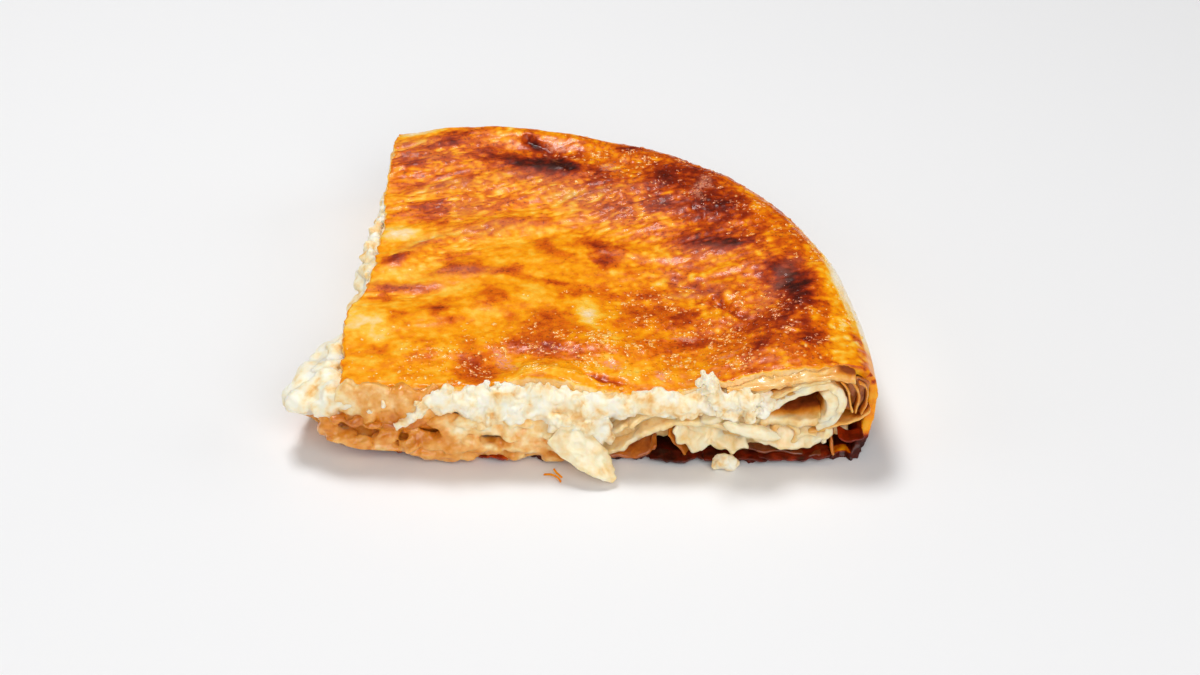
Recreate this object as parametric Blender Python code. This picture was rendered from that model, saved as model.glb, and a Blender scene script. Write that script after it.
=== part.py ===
"""A quarter cut from a round, pan-baked cheese burek.

One outer leaf of pastry runs over the top, down round the rim and back under the slice. Inside
it lie a bed of soft boiled dough, the crumbled white cheese, and the leaves of dough that were
folded in along the rim. Two straight cuts, the front one along X and the left one along Y, show
these layers, and pieces of dough and curd have slid out of the front cut.

Lengths are in metres. +Z is up, and the slice rests on the flat underside of its bottom leaf.
The shape is laid out from the corner where the two cuts meet, and moved at the end so that the
middle of its footprint is the origin.
"""

import math
import random

import bmesh
import bpy
from mathutils import Euler, Matrix, Vector, noise

MM = 0.001

# The quarter in plan
RIM_RADIUS = 155 * MM
RIM_SQUARENESS = 9 * MM
BACK_SHORTENING = 5.5 * MM
CUT_CORNER = Vector((-75 * MM, -60 * MM))
LEFT_CUT_LEAN = 0.05

# The slice from the side
MIDDLE_HEIGHT = 23.5 * MM
RIM_RISE = 4.5 * MM
RIM_LOW_PLACE = math.radians(68)
RIM_LOW_WIDTH = math.radians(15)
RIM_LOW_SHARE = 0.6
FRONT_RIGHT_RISE = 3.0 * MM
RIM_BULGE = 9 * MM
WIDEST_SHARE = 0.68
UNDERCUT_ANGLE = math.radians(60)

# Thicknesses of the layers, and the gap that parts one from the next
CRUST_THICKNESS = 2.6 * MM
BOTTOM_THICKNESS = 1.7 * MM
RIM_THICKNESS = 2.8 * MM
BED_THICKNESS = 7.5 * MM
ROLL_WIDTH = 38 * MM
GAP = 0.4 * MM
CUT_OVERRUN = 30 * MM

# Where the curd and the bed come out past the corner of the crust, and along the left cut
TIP_REACH = 13.5 * MM
TIP_LENGTH = 50 * MM
LEFT_SPILL = 3.6 * MM
LEFT_SPILL_PLACE = 8 * MM
LEFT_SPILL_LENGTH = 26 * MM

# What slid out of the front cut stands clear of the layers behind this plane
FRONT_FACE = CUT_CORNER.y - 4.4 * MM
TONGUE_WIDTH = 10.5 * MM
TONGUE_THICKNESS = 3.4 * MM
FINGER_LENGTH = 17.5 * MM
FINGER_THICKNESS = 4.6 * MM
FINGER_DROP = 5 * MM

# The browned leaf that hangs over the left end of the front cut, where the layers stand back
LEAF_LEFT = -73 * MM
LEAF_RIGHT = -43 * MM
LEAF_BOTTOM = 3.2 * MM
LEAF_TOP = 20.4 * MM
LEAF_THICKNESS = 1.4 * MM

# The hollow in the rolled leaves at the right end of the front cut
HOLLOW_CENTRE = Vector((57 * MM, CUT_CORNER.y - 1 * MM, 15.5 * MM))
HOLLOW_SIZE = Vector((20 * MM, 46 * MM, 10.5 * MM))

SEED = 12

# Swells and dents of the top crust: x, y, half length, half width (mm), turn (degrees), height (mm)
CRUST_RELIEF = (
    (-19, 69, 20, 6.0, -8, -2.0),
    (-22, 80, 24, 5.0, -10, 1.8),
    (-7, 72, 6, 4.0, -30, 1.2),
    (6, 59, 8, 4.5, -35, -1.2),
    (53, -15, 21, 4.5, 60, -1.9),
    (65, -18, 22, 5.0, 68, 1.0),
    (33, -18, 13, 3.0, -45, -1.5),
    (34, 22, 20, 8.0, -40, -1.6),
    (18, 8, 22, 13.0, -20, 1.2),
    (-58, 11, 14, 3.6, 43, 1.2),
    (-28, 31, 19, 3.8, 16, 1.2),
    (-54, 2, 15, 3.4, 40, -1.0),
    (-22, 22, 18, 4.0, 14, -0.9),
    (-57, -10, 13, 3.4, 18, -1.0),
    (-54, 59, 17, 3.4, 24, -1.1),
    (-50, 47, 18, 4.2, 10, 1.0),
    (-52, 34, 16, 3.6, 12, -0.8),
    (-45, 5, 9, 6.5, 0, 1.0),
    (-34, -15, 7, 5.5, 0, 0.9),
    (-49, -24, 6, 5.0, 0, 0.7),
    (-6, -38, 18, 11.0, 0, 1.8),
    (-29, -47, 10, 7.0, 30, -1.4),
    (-16, -58, 11, 5.0, 0, 2.2),
    (14, -62, 17, 6.0, 0, -1.4),
    (30, -42, 12, 7.0, 20, -1.0),
    (48, -50, 14, 7.0, 0, 0.9),
    (70, -40, 12, 6.0, 75, -1.0),
)
WRINKLE_HEIGHT = 0.6 * MM
WRINKLE_LENGTH = 24 * MM
WRINKLE_WIDTH = 9 * MM


def material(name, colour, roughness, subsurface=0.0):
    made = bpy.data.materials.new(name)
    made.use_nodes = True
    shader = made.node_tree.nodes["Principled BSDF"]
    shader.inputs["Base Color"].default_value = (*colour, 1)
    shader.inputs["Roughness"].default_value = roughness
    shader.inputs["Metallic"].default_value = 0.0
    shader.inputs["Subsurface Weight"].default_value = subsurface
    return made


def ease(low, high, value):
    """0 at low, 1 at high, and a smooth change between."""
    share = min(1, max(0, (value - low) / (high - low)))
    return share * share * (3 - 2 * share)


def bump(centre, half_width, value):
    """1 at the centre, falling smoothly away on both sides."""
    return math.exp(-(((value - centre) / half_width) ** 2))


def swell(x, y, feature):
    """The height that one entry of CRUST_RELIEF adds at x, y."""
    centre_x, centre_y, half_length, half_width, turn, height = feature
    dx = x / MM - centre_x
    dy = y / MM - centre_y
    angle = math.radians(turn)
    along = (dx * math.cos(angle) + dy * math.sin(angle)) / half_length
    across = (dy * math.cos(angle) - dx * math.sin(angle)) / half_width
    return height * MM * math.exp(-along * along - across * across)


# Plan of the slice


def rim_radius(angle):
    """Distance from the cut corner to the widest line of the rim: a round pan, filled by hand."""
    squareness = RIM_SQUARENESS * math.sin(2 * angle) ** 2
    return RIM_RADIUS + squareness - BACK_SHORTENING * (1 - math.cos(angle))


def plan_point(u, v, inset):
    """Maps the unit square to the quarter, which ends inset short of the widest line of the rim.

    v = 0 is the front cut, u = 0 is the left cut, and the two other sides of the square share
    the rim."""
    across = u * math.sqrt(1 - v * v / 2)
    away = v * math.sqrt(1 - u * u / 2)
    radius = rim_radius(math.atan2(away, across)) - inset
    x = CUT_CORNER.x + across * radius
    y = CUT_CORNER.y + away * radius
    return Vector((x + LEFT_CUT_LEAN * away * radius * (1 - across), y))


def rim_share(x, y):
    """(angle about the cut corner, share of the way to the rim) of a point in plan."""
    offset = Vector((x, y)) - CUT_CORNER
    if offset.length < MM:
        return 0, 0
    angle = min(math.pi / 2, max(0, math.atan2(offset.y, offset.x)))
    return angle, offset.length / rim_radius(angle)


# Heights of the layers


def broad_height(x, y):
    """The slice's top without its wrinkles: level in the middle and higher along the rim."""
    angle, share = rim_share(x, y)
    rise = RIM_RISE * (1 - RIM_LOW_SHARE * bump(RIM_LOW_PLACE, RIM_LOW_WIDTH, angle))
    right = ease(0, 62 * MM, x) * ease(10 * MM, -45 * MM, y)
    return MIDDLE_HEIGHT + rise * ease(0.66, 0.9, share) + FRONT_RIGHT_RISE * right


def crust_height(x, y):
    """The browned top with its swells, dents and wrinkles."""
    height = broad_height(x, y) + sum(swell(x, y, feature) for feature in CRUST_RELIEF)
    place = Vector((x / WRINKLE_LENGTH, y / WRINKLE_WIDTH, 0.3))
    return height + WRINKLE_HEIGHT * noise.noise(place)


def crust_underside(x, y):
    return broad_height(x, y) - CRUST_THICKNESS


def bed_height(x, y):
    """The top of the soft dough bed under the cheese, in long soft waves."""
    wave = math.sin(x / (11 * MM)) * math.cos(y / (14 * MM))
    return BOTTOM_THICKNESS + BED_THICKNESS + 1.1 * MM * wave


def bed_underside(x, y):
    """The bed lies on the bottom leaf, and arches clear of it in places along the front cut."""
    arches = 4.6 * MM * bump(21 * MM, 5.5 * MM, x) + 1.6 * MM * bump(34 * MM, 6 * MM, x)
    arches += 4.2 * MM * ease(54 * MM, 66 * MM, x)
    return BOTTOM_THICKNESS + GAP + arches * ease(CUT_CORNER.y + 22 * MM, CUT_CORNER.y, y)


# Solids from a lattice


def new_object(name, shape, finish):
    mesh = bpy.data.meshes.new(name)
    shape.to_mesh(mesh)
    shape.free()
    mesh.materials.append(finish)
    return bpy.data.objects.new(name, mesh)


def lattice_solid(name, cells, place, finish):
    """A cube cut into cells along u, v and w, with every point of it moved by place(u, v, w)."""
    shape = bmesh.new()
    bmesh.ops.create_cube(shape, size=1)
    for axis, count in enumerate(cells):
        ends = [(edge, edge.verts[0].co[axis] - edge.verts[1].co[axis]) for edge in shape.edges]
        along = [edge for edge, length in ends if abs(length) > 0.5]
        bmesh.ops.subdivide_edges(shape, edges=along, cuts=count - 1)
    for point in shape.verts:
        u, v, w = (min(1, max(0, part + 0.5)) for part in point.co)
        point.co = place(u, v, w)
    if shape.calc_volume(signed=True) < 0:
        bmesh.ops.reverse_faces(shape, faces=shape.faces)
    return new_object(name, shape, finish)


def merge_flat_underside(solid):
    """Joins the faces of a level underside into one, which leaves the outline as it is."""
    shape = bmesh.new()
    shape.from_mesh(solid.data)
    lowest = min(point.co.z for point in shape.verts)
    level = [
        face
        for face in shape.faces
        if all(point.co.z < lowest + 0.01 * MM for point in face.verts)
    ]
    bmesh.ops.dissolve_faces(shape, faces=level)
    shape.to_mesh(solid.data)
    shape.free()


def cut_flat(solid, place, direction):
    """Removes what lies past a plane, on the side that direction points to, and closes the cut."""
    shape = bmesh.new()
    shape.from_mesh(solid.data)
    everything = shape.verts[:] + shape.edges[:] + shape.faces[:]
    bmesh.ops.bisect_plane(
        shape, geom=everything, plane_co=place, plane_no=direction, clear_outer=True
    )
    open_edges = [edge for edge in shape.edges if edge.is_boundary]
    bmesh.ops.holes_fill(shape, edges=open_edges, sides=0)
    shape.to_mesh(solid.data)
    shape.free()


def rim_profile(w, bulge):
    """(inset from the widest line, share of the height) of the rim's side at w, 1 on top.

    The side is a round shoulder over the widest line, and tucks in under it."""
    angle = math.pi / 2 - (1 - w) * (math.pi / 2 + UNDERCUT_ANGLE)
    inset = bulge * (1 - math.cos(angle))
    if angle >= 0:
        return inset, WIDEST_SHARE + (1 - WIDEST_SHARE) * math.sin(angle)
    tuck = math.sin(-angle) / math.sin(UNDERCUT_ANGLE)
    return inset, WIDEST_SHARE * (1 - tuck)


def slab(low, high, inset, bulge, edge):
    """place() for a slab over the quarter, between the heights low(x, y) and high(x, y).

    edge(point, u, v) moves the points of the two cuts."""

    def place(u, v, w):
        tuck, share = rim_profile(w, bulge)
        plan = plan_point(u, v, inset + tuck)
        bottom = low(plan.x, plan.y)
        point = Vector((plan.x, plan.y, bottom + (high(plan.x, plan.y) - bottom) * share))
        return edge(point, u, v)

    return place


def overrun(point, u, v):
    """Carries a cutter past both cuts."""
    if u == 0:
        point.x -= CUT_OVERRUN
    if v == 0:
        point.y -= CUT_OVERRUN
    return point


def cut_wave(point, u, v):
    """The outer leaf's edge wanders along both cuts, as a knife drags the brittle crust."""
    near_front = (1 - v) ** 8
    near_left = (1 - u) ** 8
    sag = bump(14 * MM, 20 * MM, point.x)
    foot = ease(9 * MM, 0, point.z) * ease(-72 * MM, -30 * MM, point.x)
    raised = bump(-17 * MM, 9 * MM, point.x) * ease(12 * MM, 22 * MM, point.z)
    rough = noise.noise(Vector((point.x / (9 * MM), 2.0, point.z / (12 * MM))))
    out = (3.2 * sag * (1 - foot) + 3.4 * foot - 4.5 * raised + 0.8 * rough) * MM
    point.y -= near_front * out
    rough = noise.noise(Vector((5.0, point.y / (8 * MM), point.z / (12 * MM))))
    point.x += near_left * 1.3 * MM * rough
    return point


def front_reach(point, lump):
    """How far a soft layer stands out of the front cut. It meets the pieces that hang from it,
    and stands back behind the browned leaf at the left end."""
    carrier = min(1, bump(-18 * MM, 9 * MM, point.x) + bump(41 * MM, 12 * MM, point.x))
    behind_leaf = ease(LEAF_RIGHT + 6 * MM, LEAF_RIGHT - 4 * MM, point.x)
    rough = 1.8 * MM + 1.3 * MM * lump
    reach = rough + (CUT_CORNER.y - FRONT_FACE - GAP - rough) * carrier
    return reach + (-2.2 * MM + 0.3 * MM * lump - reach) * behind_leaf


def nearness_to_tip(y):
    """1 where the two cuts meet, falling to 0 along the left cut."""
    return ease(TIP_LENGTH, 4 * MM, y - CUT_CORNER.y)


def left_spill(y):
    """How far the soft layers stand out of the left cut, apart from the tip."""
    return 2.5 * MM + LEFT_SPILL * bump(LEFT_SPILL_PLACE, LEFT_SPILL_LENGTH, y)


def torn_edge(point, u, v):
    """A soft layer's cut side: lumpy, and drawn out past the corner where the two cuts meet."""
    place = point / (7 * MM)
    lump = noise.noise(place) + 0.5 * noise.noise(2.3 * place)
    height = ease(25 * MM, 4 * MM, point.z)
    if v == 0:
        point.y -= front_reach(point, lump)
    if u == 0:
        near_tip = nearness_to_tip(point.y)
        drawn_out = TIP_REACH * near_tip * (0.4 + 0.6 * height)
        point.x -= left_spill(point.y) + 1.4 * MM * lump + drawn_out
        point.y += 5 * MM * near_tip * (1 - v) ** 4
    return point


# Collections and Booleans


def new_collection(name):
    made = bpy.data.collections.new(name)
    bpy.context.scene.collection.children.link(made)
    return made


def as_cutter(shape, cutters):
    shape.hide_render = True
    shape.display_type = "WIRE"
    cutters.objects.link(shape)
    return shape


def apply_boolean(shape, operation, other):
    """Cuts shape by, or joins it with, an object or a collection, and keeps the result."""
    modifier = shape.modifiers.new(operation.lower(), "BOOLEAN")
    modifier.operation = operation
    modifier.solver = "EXACT"
    if isinstance(other, bpy.types.Collection):
        modifier.operand_type = "COLLECTION"
        modifier.collection = other
        modifier.use_self = True
    else:
        modifier.object = other
    graph = bpy.context.evaluated_depsgraph_get()
    mesh = bpy.data.meshes.new_from_object(shape.evaluated_get(graph))
    shape.modifiers.clear()
    shape.data = mesh


def fuse(shape, pieces):
    """Joins a list of overlapping pieces to shape."""
    loose = new_collection("loose")
    for piece in pieces:
        loose.objects.link(piece)
    apply_boolean(shape, "UNION", loose)
    for piece in pieces:
        bpy.data.objects.remove(piece)
    bpy.data.collections.remove(loose)


# The outer leaf


def outer_leaf(part, cutters, finish):
    """The outer leaf of pastry: top crust, rim and bottom leaf in one piece, open at both cuts."""

    def ground(x, y):
        return 0

    def floor_of_core(x, y):
        return BOTTOM_THICKNESS

    place = slab(ground, crust_height, 0, RIM_BULGE, cut_wave)
    leaf = lattice_solid("pastry", (35, 35, 7), place, finish)
    merge_flat_underside(leaf)
    part.objects.link(leaf)
    place = slab(floor_of_core, crust_underside, RIM_THICKNESS, RIM_BULGE, overrun)
    core = as_cutter(lattice_solid("pastry_inside", (16, 16, 6), place, finish), cutters)
    merge_flat_underside(core)
    apply_boolean(leaf, "DIFFERENCE", core)


# The layers inside


def dough_bed(part, finish):
    """The soft boiled sheets under the cheese, pressed into one wavy bed."""
    place = slab(bed_underside, bed_height, RIM_THICKNESS + 5 * MM, 1.5 * MM, torn_edge)
    part.objects.link(lattice_solid("dough_bed", (24, 20, 2), place, finish))


def curd(place, size, generator, finish, bottom=None, top=None):
    """One crumb of fresh cheese: an icosphere squashed, turned and roughened, and pressed flat
    where it meets the surfaces bottom(x, y) and top(x, y)."""
    shape = bmesh.new()
    bmesh.ops.create_icosphere(shape, subdivisions=2, radius=size / 2)
    stretch = Vector([generator.uniform(0.75, 1.3) for _ in range(3)])
    turn = Euler([generator.uniform(0, math.tau) for _ in range(3)]).to_matrix()
    offset = Vector([generator.uniform(0, 50) for _ in range(3)])
    for point in shape.verts:
        rough = 1 + 0.45 * noise.noise(point.co * (1.6 / size) + offset)
        point.co = turn @ (point.co * rough * stretch) + place
        if bottom:
            point.co.z = max(point.co.z, bottom(point.co.x, point.co.y) + 0.05 * MM)
        if top:
            point.co.z = min(point.co.z, top(point.co.x, point.co.y) - 0.05 * MM)
    return new_object("curd", shape, finish)


def cheese(part, generator, finish):
    """The crumbled cheese between the bed and the crust, its crumbs standing out at the cuts."""

    def bottom(x, y):
        return bed_height(x, y) + GAP

    def top(x, y):
        return crust_underside(x, y) - 2 * GAP

    place = slab(bottom, top, ROLL_WIDTH, 1.5 * MM, torn_edge)
    filling = lattice_solid("cheese_filling", (13, 11, 2), place, finish)
    part.objects.link(filling)
    crumbs = []
    for step in range(15):
        x = LEAF_RIGHT + (4 + 5.2 * step + generator.uniform(-1.3, 1.3)) * MM
        place = Vector((x, CUT_CORNER.y - 0.2 * MM, generator.uniform(13.5, 17.5) * MM))
        size = generator.uniform(6, 8) * MM
        crumbs.append(curd(place, size, generator, finish, bottom, top))
    for step in range(18):
        y = CUT_CORNER.y + (6 + 5.5 * step + generator.uniform(-1.3, 1.3)) * MM
        lean = LEFT_CUT_LEAN * (y - CUT_CORNER.y)
        near_tip = nearness_to_tip(y)
        out = left_spill(y) + 0.7 * TIP_REACH * near_tip
        place = Vector((CUT_CORNER.x + lean - out, y, generator.uniform(14, 16) * MM))
        size = (generator.uniform(6, 9) + 3.5 * near_tip) * MM
        crumbs.append(curd(place, size, generator, finish, bottom, top))
    fuse(filling, crumbs)
    cut_flat(filling, (0, FRONT_FACE + GAP, 0), (0, -1, 0))


def fold_gap(name, reach, width, start, end, depth, cutters):
    """The narrow space between two folded leaves: an arc about the hollow, run back from the
    front cut."""

    def place(u, v, w):
        angle = start + (end - start) * u
        thin = 1 - 0.7 * abs(2 * u - 1) ** 3
        distance = reach + (w - 0.5) * width * thin
        x = HOLLOW_CENTRE.x + distance * math.cos(angle)
        z = HOLLOW_CENTRE.z + 0.62 * distance * math.sin(angle)
        return Vector((x, CUT_CORNER.y + (v - 0.4) * depth, z))

    return as_cutter(lattice_solid(name, (8, 1, 1), place, None), cutters)


def rim_roll(part, cutters, finish):
    """The leaves of dough folded in along the rim, with a hollow and gaps at their front end."""
    outer = RIM_THICKNESS + GAP
    width = ROLL_WIDTH - outer - GAP

    def place(u, v, w):
        angle = math.radians(89.6) * u
        inset = outer + width * (1 - v)
        corner = rim_profile(w, RIM_BULGE)[0] * v**3
        reach = rim_radius(angle) - inset - corner
        x = CUT_CORNER.x + reach * math.cos(angle)
        y = CUT_CORNER.y + reach * math.sin(angle)
        x += LEFT_CUT_LEAN * (y - CUT_CORNER.y) * (1 - math.cos(angle))
        bottom = bed_height(x, y) + GAP
        top = crust_underside(x, y) - 2 * GAP - 0.8 * MM * v**3
        point = Vector((x, y, bottom + (top - bottom) * w))
        lump = noise.noise(point / (6 * MM))
        if u == 0:
            point.y -= front_reach(point, lump)
        if u == 1:
            point.x -= 1.8 * MM + 1.2 * MM * lump
        return point

    roll = lattice_solid("rim_roll", (24, 6, 4), place, finish)
    part.objects.link(roll)
    shape = bmesh.new()
    bmesh.ops.create_uvsphere(shape, u_segments=16, v_segments=12, radius=0.5)
    tilt = Matrix.Rotation(math.radians(-16), 4, "Y")
    sized = Matrix.Diagonal((*HOLLOW_SIZE, 1))
    bmesh.ops.transform(
        shape, matrix=Matrix.Translation(HOLLOW_CENTRE) @ tilt @ sized, verts=shape.verts
    )
    hollow = as_cutter(new_object("roll_hollow", shape, None), cutters)
    apply_boolean(roll, "DIFFERENCE", hollow)
    inner = fold_gap("inner_fold_gap", 13.2 * MM, 1.3 * MM, -0.75, 0.95, 24 * MM, cutters)
    apply_boolean(roll, "DIFFERENCE", inner)
    outermost = fold_gap("outer_fold_gap", 16.4 * MM, 1.4 * MM, -0.5, 0.75, 20 * MM, cutters)
    apply_boolean(roll, "DIFFERENCE", outermost)


# What slid out of the front cut


def browned_leaf(part, finish):
    """A thin browned leaf of dough that hangs over the layers at the left end of the front cut."""

    def place(u, v, w):
        x = LEAF_LEFT + (LEAF_RIGHT - LEAF_LEFT) * u
        ragged = 1.5 * MM * noise.noise(Vector((x / (5 * MM), 0, 7)))
        low = LEAF_BOTTOM + ragged + 4 * MM * ease(0.75, 1, u)
        z = low + (LEAF_TOP - low) * w
        wave = 0.9 * MM * noise.noise(Vector((x / (8 * MM), z / (9 * MM), 3)))
        thickness = LEAF_THICKNESS * (1 - 0.5 * abs(2 * u - 1) ** 4)
        return Vector((x, CUT_CORNER.y - 0.9 * MM + wave + (v - 0.5) * thickness, z))

    part.objects.link(lattice_solid("browned_leaf", (10, 1, 5), place, finish))


def dough_tongue(part, finish):
    """A limp end of boiled dough that hangs out of the cut, with its tip on the table."""
    root = Vector((-13 * MM, FRONT_FACE - 4.2 * MM, 13.5 * MM))
    tip = Vector((4.4 * MM, FRONT_FACE - 11 * MM, 1.4 * MM))
    along = (tip - root).normalized()

    def place(u, v, w):
        facing = Vector((0, -0.9, 0.43)).lerp(Vector((0, -0.35, 0.94)), u)
        facing = (facing - along * facing.dot(along)).normalized()
        across = facing.cross(along)
        narrowing = math.sqrt(max(0.05, 1 - max(0, (u - 0.55) / 0.45) ** 2))
        side = (2 * v - 1) * TONGUE_WIDTH / 2 * (0.8 + 0.2 * math.sin(math.pi * u)) * narrowing
        thin = (1 - 0.5 * u) * (1 - 0.7 * abs(2 * v - 1) ** 3)
        centre = root.lerp(tip, u)
        centre.z += 1.5 * MM * math.sin(math.pi * u)
        return centre + across * side + facing * (w - 0.5) * TONGUE_THICKNESS * thin

    tongue = lattice_solid("dough_tongue", (10, 6, 1), place, finish)
    cut_flat(tongue, (0, FRONT_FACE, 0), (0, 1, 0))
    cut_flat(tongue, (0, 0, 0.2 * MM), (0, 0, -1))
    part.objects.link(tongue)


def dough_finger(part, finish):
    """A rolled end of boiled dough that slopes down the front cut, under the perched curd."""
    shape = bmesh.new()
    bmesh.ops.create_uvsphere(shape, u_segments=14, v_segments=10, radius=0.5)
    radius = FINGER_THICKNESS / 2
    for point in shape.verts:
        along = point.co.z
        swollen = 1 + 0.12 * math.sin(9 * along)
        x = 43.5 * MM + along * FINGER_LENGTH
        y = FRONT_FACE - radius - GAP + point.co.y * FINGER_THICKNESS * swollen * 0.9
        z = 12.8 * MM - FINGER_DROP * along + point.co.x * FINGER_THICKNESS * swollen
        point.co = (x, y, z)
    if shape.calc_volume(signed=True) < 0:
        bmesh.ops.reverse_faces(shape, faces=shape.faces)
    part.objects.link(new_object("dough_finger", shape, finish))


def curd_cluster(part, name, crumbs, generator, finish):
    """Crumbs of cheese stuck together. Each is given by its x, its distance in front of the
    layers, its z and its size, in mm."""
    pieces = []
    for x, front, z, size in crumbs:
        place = Vector((x * MM, FRONT_FACE - front * MM, z * MM))
        pieces.append(curd(place, size * MM, generator, finish))
    cluster = pieces.pop(0)
    cluster.name = name
    part.objects.link(cluster)
    fuse(cluster, pieces)
    cut_flat(cluster, (0, FRONT_FACE, 0), (0, 1, 0))
    cut_flat(cluster, (0, 0, 0), (0, 0, -1))


def centre_on_footprint(part):
    """Moves every solid so that the middle of the whole footprint is the origin."""
    points = [point.co for solid in part.objects for point in solid.data.vertices]
    low = Vector([min(point[axis] for point in points) for axis in range(3)])
    high = Vector([max(point[axis] for point in points) for axis in range(3)])
    move = Matrix.Translation((-(low.x + high.x) / 2, -(low.y + high.y) / 2, -low.z))
    for solid in part.objects:
        solid.data.transform(move)


def build():
    for old in list(bpy.data.objects):
        bpy.data.objects.remove(old)
    part = new_collection("cheese_burek_quarter")
    cutters = new_collection("cutters")
    crust = material("baked_pastry", (0.72, 0.30, 0.05), 0.35, 0.1)
    dough = material("boiled_dough", (0.88, 0.78, 0.50), 0.4, 0.2)
    curds = material("fresh_cheese", (0.93, 0.88, 0.76), 0.6, 0.2)
    generator = random.Random(SEED)
    outer_leaf(part, cutters, crust)
    dough_bed(part, dough)
    cheese(part, generator, curds)
    rim_roll(part, cutters, dough)
    browned_leaf(part, crust)
    dough_tongue(part, dough)
    dough_finger(part, dough)
    perched = ((30.2, 2.6, 32.2, 3.6), (29.2, 2.7, 29.3, 4.6), (30.6, 2.8, 25.2, 7))
    perched += ((34.2, 2.8, 22.4, 6.5), (38.2, 2.6, 22.8, 5), (42, 2.7, 23, 5.4))
    perched += ((45, 2.9, 22.4, 6), (44.6, 2.8, 18.8, 5.4))
    curd_cluster(part, "perched_curd", perched, generator, curds)
    fallen = ((33.8, 3.2, 2.3, 5.4), (37.8, 3.5, 2.4, 6))
    curd_cluster(part, "fallen_curd", fallen, generator, curds)
    centre_on_footprint(part)


build()
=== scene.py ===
"""The looks of a quarter of cheese burek, built over its solids.

The sections follow the slice as it is put together: the outer leaf and its blisters, the boiled
dough inside it, the cheese, the leaves folded in along the rim, the browned end of dough at the
corner, the burnt flakes at the foot, and what slid out of the cut. Lengths are in metres, and
places on the slice are in millimetres from MIDDLE.
"""

import math
import random

import bpy
import numpy as np
from mathutils import Matrix, Vector, noise
from mathutils.bvhtree import BVHTree


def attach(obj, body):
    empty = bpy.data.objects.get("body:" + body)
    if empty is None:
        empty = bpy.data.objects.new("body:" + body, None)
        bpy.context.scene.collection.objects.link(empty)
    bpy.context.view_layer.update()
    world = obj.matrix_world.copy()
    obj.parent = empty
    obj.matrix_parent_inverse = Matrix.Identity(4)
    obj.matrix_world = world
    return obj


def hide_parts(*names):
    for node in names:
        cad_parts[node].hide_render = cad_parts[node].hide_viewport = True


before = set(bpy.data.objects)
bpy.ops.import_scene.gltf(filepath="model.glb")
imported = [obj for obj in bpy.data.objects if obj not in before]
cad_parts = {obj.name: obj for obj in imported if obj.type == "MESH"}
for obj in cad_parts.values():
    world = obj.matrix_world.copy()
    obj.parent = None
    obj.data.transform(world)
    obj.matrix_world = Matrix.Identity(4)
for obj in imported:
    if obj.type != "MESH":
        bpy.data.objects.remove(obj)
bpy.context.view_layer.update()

# The outer leaf
# One hand-stretched sheet of oiled wheat dough wraps the whole slice. Its top is baked amber to
# dark brown and has blistered and crinkled, its rim is paler, and its underside is nearly burnt.

MM = 0.001
MERGE_GAP = 0.01 * MM
# Where the slice's own places are measured from, and from there the point where its cuts meet
MIDDLE = np.array((6.54, -6.27, 0.0))
CUT_CORNER = np.array((-75.0, -60.0))
LEFT_CUT_LEAN = 0.05
RIM_RADIUS = 155
SKIN_GRID = 0.65 * MM
SKIN_SMOOTHING = 34
# The share of faces kept in the unseen lining and under the slice, and how far from the cuts and
# the rim the thinning starts
INSIDE_KEPT = 0.03
INSIDE_EDGE = 4
UNDERSIDE_KEPT = 0.08
UNDERSIDE_EDGE = 5
UNDERSIDE_RIM = 6
UNDERSIDE_HEIGHT = 0.3
SLICE_REACH = 60 * MM
RIM_RISE = 2.6
BACK_SAG = 1.8
# How high the underside stands off the table at the corner, as x and height
CORNER_FOOT = ((-88, 10), (-84, 8), (-79, 5), (-74, 3), (-69, 1.6), (-58, 0.8), (-48, 0))


def select_only(piece):
    bpy.ops.object.select_all(action="DESELECT")
    piece.select_set(True)
    bpy.context.view_layer.objects.active = piece


def copy_of_solid(node, name):
    """A copy of a solid whose loose triangles are merged into one closed mesh."""
    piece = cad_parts[node].copy()
    piece.data = piece.data.copy()
    piece.parent = None
    piece.name = name
    for key in list(piece.keys()):
        del piece[key]
    bpy.context.scene.collection.objects.link(piece)
    piece.data.materials.clear()
    select_only(piece)
    bpy.ops.object.mode_set(mode="EDIT")
    bpy.ops.mesh.select_all(action="SELECT")
    bpy.ops.mesh.remove_doubles(threshold=MERGE_GAP)
    bpy.ops.object.mode_set(mode="OBJECT")
    return piece


def apply_modifier(piece, kind, **settings):
    select_only(piece)
    modifier = piece.modifiers.new(kind.lower(), kind)
    for setting, value in settings.items():
        setattr(modifier, setting, value)
    bpy.ops.object.modifier_apply(modifier=modifier.name)


def places(piece):
    """The piece's points as rows of x, y and z, in mm from MIDDLE."""
    flat = np.empty(len(piece.data.vertices) * 3, np.float32)
    piece.data.vertices.foreach_get("co", flat)
    return flat.reshape(-1, 3).astype(float) / MM - MIDDLE


def put_places(piece, points):
    flat = ((points + MIDDLE) * MM).astype(np.float32).ravel()
    piece.data.vertices.foreach_set("co", flat)
    piece.data.update()


def outward(piece):
    """The direction that each point of the piece faces."""
    flat = np.empty(len(piece.data.vertices) * 3, np.float32)
    piece.data.vertices.foreach_get("normal", flat)
    return flat.reshape(-1, 3).astype(float)


def ease(low, high, value):
    """0 at low, 1 at high, and a smooth change between."""
    share = np.clip((value - low) / (high - low), 0, 1)
    return share * share * (3 - 2 * share)


def lumps(points, size, layer, octaves=3):
    """Smooth noise, about -1 to 1, at each point. size is the width of its lumps in mm, one
    number or one for each axis, and layer picks another pattern."""
    spots = (points / np.array(size) + 13.7 * layer).tolist()
    return np.array([noise.fractal(spot, 0.9, 2.1, octaves) for spot in spots])


def wander(points, size, first, octaves=3):
    """Smooth noise along x, y and z at each point, in three patterns from first on."""
    return np.stack([lumps(points, size, first + axis, octaves) for axis in range(3)], 1)


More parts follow.
